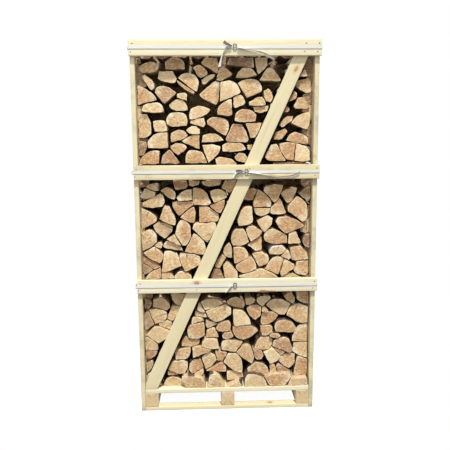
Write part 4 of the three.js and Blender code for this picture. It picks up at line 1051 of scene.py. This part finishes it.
def board_surface(low, high, rng, tone, sides=None, knots=()):
    """A sawn board between two corners, carried along its longest side: width and thickness vary in
    slow waves, and the faces ripple and wear a little. tone is how pale and how dull it is. sides gives
    the left and right edge at the foot and at the head of a board that slants. knots are places on its
    face, across and along, from its middle; each point knows how far it is from the nearest one."""
    low, high = np.array(low, float), np.array(high, float)
    middle, extent = (low + high) / 2, high - low
    thin, wide, axis = (int(k) for k in np.argsort(extent)) if sides is None else (1, 0, 2)
    if sides is not None:
        extent[wide] = sides[1][1] - sides[1][0]
    steps = max(8, int(extent[axis] / BOARD_STEP))
    reach = extent[axis] / 2
    inner = np.linspace(0.0016 - reach, reach - 0.0016, steps)
    along = np.concatenate([[-reach] * 3, inner, [reach] * 3])
    size = np.concatenate([[0.4, 0.85, 0.975], np.ones(steps), [0.975, 0.85, 0.4]])
    profile = board_profile(extent[wide], extent[thin], BOARD_EDGE)
    narrower = 1 - abs(wave(rng, along, 0.006, 0.5))
    thinner = 1 - abs(wave(rng, along, 0.014, 0.6))
    flat = profile[None] * (size[:, None] * np.stack([narrower, thinner], -1))[:, None]
    around = np.arctan2(profile[:, 1], profile[:, 0])
    start = rng.uniform(0, 7, 3)
    ripple = 0.0003 * np.sin(along[:, None] * 60 + 4 * around + start[0])
    worn = 0.0005 * np.sin(along[:, None] * 23 + 2 * around + start[1])
    outward = unit(profile)
    flat = flat - outward * (abs(ripple + worn) * (size > 0.9)[:, None])[:, :, None]
    ragged = 0.0009 * np.sin(450 * profile[:, 0] + start[2]) * np.sin(900 * profile[:, 1])
    inward_step = np.sign(along) * (abs(along) > reach - 0.001)
    lengthwise = along[:, None] - inward_step[:, None] * abs(ragged)

    across = flat[..., 0]
    shift = np.zeros_like(along)
    if sides is not None:
        share = (along + reach) / (2 * reach)
        left = sides[0][0] * (1 - share) + sides[1][0] * share
        right = sides[0][1] * (1 - share) + sides[1][1] * share
        across = across * ((right - left) / extent[wide])[:, None]
        shift = (left + right) / 2 - middle[wide]
    placed = middle[wide] + across + shift[:, None]
    points = np.zeros((len(along), len(profile), 3))
    points[..., wide] = placed if sides is None else np.clip(placed, -BRACE_SIDE, BRACE_SIDE)
    points[..., thin] = middle[thin] + flat[..., 1]
    points[..., axis] = middle[axis] + lengthwise
    ends = points[[0, -1]].mean(1)

    local = np.stack([across, flat[..., 1], lengthwise], -1)
    local_ends = np.array([[0, 0, -reach], [0, 0, reach]])
    look = np.array([*tone, 0.0, 1.0])
    looks = np.tile(look, (*points.shape[:2], 1))
    looks[..., 2] = (size < 0.99)[:, None]
    end_looks = np.tile([look[0], look[1], 1.0, 1.0], (2, 1))

    def from_knot(where):
        away = np.stack([where - np.array([w, 0, a]) for w, a in (*knots, (9.0, 9.0))])
        nearest = np.linalg.norm(away[..., [0, 2]], axis=-1).argmin(0)
        return np.take_along_axis(away, nearest[None, ..., None], 0)[0]

    offset = rng.uniform(-5, 5, 3)
    inward = (wide, thin, axis) not in ((0, 1, 2), (1, 2, 0), (2, 0, 1))
    return joined_tubes(points[None], ends[None], {
        "board_place": (local[None] + offset, local_ends[None] + offset),
        "board_look": (looks[None], end_looks[None]),
        "knot_place": (from_knot(local)[None], from_knot(local_ends)[None]),
    }, inward)


# The boards in front: how pale and how dull each is, and the places of its knots, across and along,
# from its middle
FRONT_BOARDS = {
    "brace_front": ((0.05, 0.35), [(0.006, 0.826)]),
    "rail_front_upper": ((0.75, 0.45), []),
    "rail_front_middle": ((0.10, 0.75), []),
    "rail_front_lower": ((0.95, 0.30), [(0.019, -0.172)]),
    "upright_front_left": ((0.12, 0.80), []),
    "upright_front_right": ((0.12, 0.85), []),
    "bottom_board_front": ((0.25, 0.55), [(0.0, 0.2515)]),
}
# The side slats are the darkest and dustiest: dust, and partly painted shade where they show beside the
# logs
SLAT_SHADED_TONE = (0.1, 0.95)


def slanting_sides(node):
    """The left and right side of a slanting board at its foot and at its head. The back one is the
    front one turned round."""
    if node == "brace_front":
        return BRACE_FOOT, BRACE_HEAD
    return tuple(-x for x in BRACE_FOOT[::-1]), tuple(-x for x in BRACE_HEAD[::-1])


def add_boards():
    material = board_wood()
    kinds = ("bottom_board", "stringer", "deck_board", "upright", "rail", "side_slat", "brace")
    boards = [node for node in sorted(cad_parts) if node.startswith(kinds)]
    for number, node in enumerate(boards):
        rng = np.random.default_rng(100 + number)
        sides = slanting_sides(node) if node.startswith("brace") else None
        drawn = [(rng.uniform(-0.02, 0.02), rng.uniform(-0.35, 0.35))] if rng.uniform() < 0.6 else []
        drawn_tone = (rng.uniform(0.2, 0.9), rng.uniform(0.2, 0.6))
        tone, knots = FRONT_BOARDS.get(node, (drawn_tone, drawn))
        if node.startswith("side_slat"):
            tone = SLAT_SHADED_TONE
        surface = board_surface(*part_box(node), rng, tone, sides, knots)
        make_piece(f"sawn_{node}", surface, material, [node], sharp=50)


# Nails

def nail_places():
    """Each nail's place on a face and the way it points out: two where a rail crosses an upright or
    the brace, and two on the outside of each upright where a slat is fastened."""
    places = []
    for side, out in (("front", -1), ("back", 1)):
        brace = slanting_sides(f"brace_{side}")
        brace_low, brace_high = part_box(f"brace_{side}")
        for level in LEVELS:
            low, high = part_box(f"rail_{side}_{level}")
            y = low.y if out < 0 else high.y
            height = high.z - low.z
            # The brace's middle line crosses each rail at its own place
            share = ((low.z + high.z) / 2 - brace_low.z) / (brace_high.z - brace_low.z)
            crossing = (1 - share) * sum(brace[0]) / 2 + share * sum(brace[1]) / 2
            for x in (-UPRIGHT_ACROSS, UPRIGHT_ACROSS, crossing):
                places.append((x - 0.004, y, low.z + 0.24 * height, 0, out))
                places.append((x + 0.005, y, low.z + 0.74 * height, 0, out))
    for where, sign in (("left", -1), ("right", 1)):
        for number in range(1, 7):
            low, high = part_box(f"side_slat_{where}_{number}")
            for y in (-UPRIGHT_DEEP, UPRIGHT_DEEP):
                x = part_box(f"upright_front_{where}")[0 if sign < 0 else 1].x
                places.append((x, y - 0.009, low.z + 0.02, sign, 0))
                places.append((x, y + 0.010, high.z - 0.02, sign, 0))
    return np.array(places)


def add_nails():
    """Nail heads: each a low dome of rings round its axis, its rim sunk just into the wood."""
    places = nail_places()
    rng = np.random.default_rng(5)
    turn = np.linspace(0, 2 * math.pi, 14, endpoint=False)
    radius = np.array([0.0036, 0.0036, 0.0030, 0.0015])
    rise = np.array([-0.0008, 0.0003, 0.0007, 0.0009])
    out = np.stack([places[:, 3], places[:, 4], np.zeros(len(places))], -1)
    across = np.stack([-out[:, 1], out[:, 0], np.zeros(len(places))], -1)
    up = np.array([0.0, 0.0, 1.0])
    scale = rng.uniform(0.9, 1.1, len(places))[:, None, None, None]
    circle = np.cos(turn)[:, None] * across[:, None] + np.sin(turn)[:, None] * up
    rings = places[:, None, None, :3] + radius[None, :, None, None] * circle[:, None] * scale
    rings = rings + rise[None, :, None, None] * out[:, None, None]
    ends = places[:, None, :3] + np.array([-0.0008, 0.00095])[None, :, None] * out[:, None]
    make_piece("nail_heads", joined_tubes(rings, ends, {}), nail_steel(), sharp=60)


# Straps and buckles

def add_strap(level, material):
    """A strap drawn round the rails: a band's section carried round a rectangle with round corners,
    closed on itself; its width wanders up and down a little between the corners."""
    low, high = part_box(f"strap_{level}")
    x, y = high.x - STRAP_THICKNESS / 2, high.y - STRAP_THICKNESS / 2
    bend = 0.004
    arc = np.radians(np.arange(0, 91, 15))
    corners = []
    for right, back, turn in ((1, -1, -90), (1, 1, 0), (-1, 1, 90), (-1, -1, 180)):
        middle = np.array([right * (x - bend), back * (y - bend)])
        angle = arc + math.radians(turn)
        corners.append(middle + bend * np.stack([np.cos(angle), np.sin(angle)], -1))
    path = []
    for number, corner in enumerate(corners):
        following = corners[(number + 1) % 4][0]
        share = np.linspace(0, 1, 50)[1:-1, None]
        path += [corner, corner[-1] * (1 - share) + following * share]
    path = np.vstack(path)
    along = unit(np.roll(path, -1, 0) - np.roll(path, 1, 0))
    out = np.stack([along[:, 1], -along[:, 0]], -1)
    rng = np.random.default_rng(len(level))
    walked = way_along(path)
    whole = walked[-1] + np.linalg.norm(path[0] - path[-1])
    height = (low.z + high.z) / 2 + sum(
        0.0012 / k * np.sin(2 * math.pi * k * walked / whole + rng.uniform(0, 7)) for k in (1, 3, 5)
    )
    wide, thick = band_section()
    rings = np.zeros((len(path), len(wide), 3))
    rings[..., :2] = path[:, None] + out[:, None] * thick[None, :, None]
    rings[..., 2] = height[:, None] + wide
    place = np.stack(np.broadcast_arrays(wide, thick, walked[:, None]), -1)
    quads, fans = tube_faces(len(path) + 1, len(wide))
    quads = quads % (len(path) * len(wide))
    surface = (rings.reshape(-1, 3), quads[:, ::-1], fans[:0], {"band_place": place.reshape(-1, 3)})
    make_piece(f"band_{level}", surface, material, [f"strap_{level}"], sharp=60)


def wire_ring(path, radius):
    """A round wire along a level path of points across and up; the path closes on itself."""
    turn = np.linspace(0, 2 * math.pi, 10, endpoint=False)
    along = unit(np.roll(path, -1, 0) - np.roll(path, 1, 0))
    side = np.stack([along[:, 2], np.zeros(len(path)), -along[:, 0]], -1)
    out = np.array([0.0, 1.0, 0.0])
    return path[:, None] + radius * (np.cos(turn)[:, None] * side[:, None] + np.sin(turn)[:, None] * out)


def add_buckle(level, material):
    """A buckle of bent wire: a ring with straight sides and round ends, and a bar across its middle
    that the strap goes round."""
    low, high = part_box(f"buckle_{level}")
    middle = (np.array(low) + np.array(high)) / 2
    radius = (high.y - low.y) / 2
    half_wide, half_high = (high.x - low.x) / 2 - radius, (high.z - low.z) / 2 - radius
    turn = np.linspace(0, math.pi, 13)
    rise = half_high - half_wide + half_wide * np.sin(turn)
    top = np.stack([half_wide * np.cos(turn), 0 * turn, rise], -1)
    path = middle + np.vstack([top, -top])
    rings = wire_ring(path, radius)
    around = rings.shape[1]
    quads, _ = tube_faces(len(path) + 1, around)
    quads = quads % (len(path) * around)
    reach = np.linspace(-half_wide, half_wide, 5)
    bar_place = middle + np.stack([reach, np.zeros(5), np.full(5, 0.002)], -1)
    bar_turn = np.arange(around) * 0.2 * math.pi
    circle = np.stack([np.zeros(around), np.cos(bar_turn), np.sin(bar_turn)], -1)
    bar = bar_place[:, None] + 0.8 * radius * circle
    bar_quads, bar_fans = tube_faces(5, around)
    shift = len(path) * around
    points = np.vstack([rings.reshape(-1, 3), bar.reshape(-1, 3), bar_place[[0, -1]]])
    quads = np.vstack([quads[:, ::-1], bar_quads + shift])
    make_piece(f"wire_buckle_{level}", (points, quads, bar_fans + shift, {}), material,
               [f"buckle_{level}"], sharp=60)


def add_bark_strip():
    """A strip of inner bark left along the lower rail's bottom edge: a thin shell that wraps the edge,
    its lower rim torn in short waves."""
    low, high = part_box("rail_front_lower")
    x = np.linspace(*BARK_ENDS, 60)
    torn = 0.0095 + 0.003 * np.sin(x * 71) + 0.0014 * np.sin(x * 330 + 1) + 0.0006 * np.sin(x * 910)
    torn = torn * np.clip(np.minimum(x - x[0], x[-1] - x) / 0.035, 0.1, 1)
    profile = np.array([
        (0.0, 0.0), (0.0, 0.5), (0.0, 1.0), (-0.0022, 0.95), (-0.0030, 0.5), (-0.0026, -0.12),
    ])
    rings = np.zeros((len(x), len(profile), 3))
    rings[..., 0] = x[:, None]
    rings[..., 1] = low.y + 0.0006 + profile[:, 0]
    rings[..., 2] = low.z - 0.0006 + profile[:, 1] * torn[:, None]
    ends = rings[[0, -1]].mean(1)
    place = rings[..., [1, 2, 0]]
    end_place = ends[:, [1, 2, 0]]
    surface = joined_tubes(rings[None], ends[None], {"board_place": (place[None], end_place[None])})
    make_piece("bark_strip", surface, red_bark())


add_camera()
STRAP_WEAVE = strap_weave("strap_weave", 0.0)
add_tails(STRAP_WEAVE, strap_weave("dark_brown_weave", 0.9))
for level in LEVELS:
    add_strap(level, STRAP_WEAVE)
DULL_WIRE = dull_wire()
for level in LEVELS:
    add_buckle(level, DULL_WIRE)
add_logs()
add_boards()
add_nails()
add_bark_strip()
add_studio()
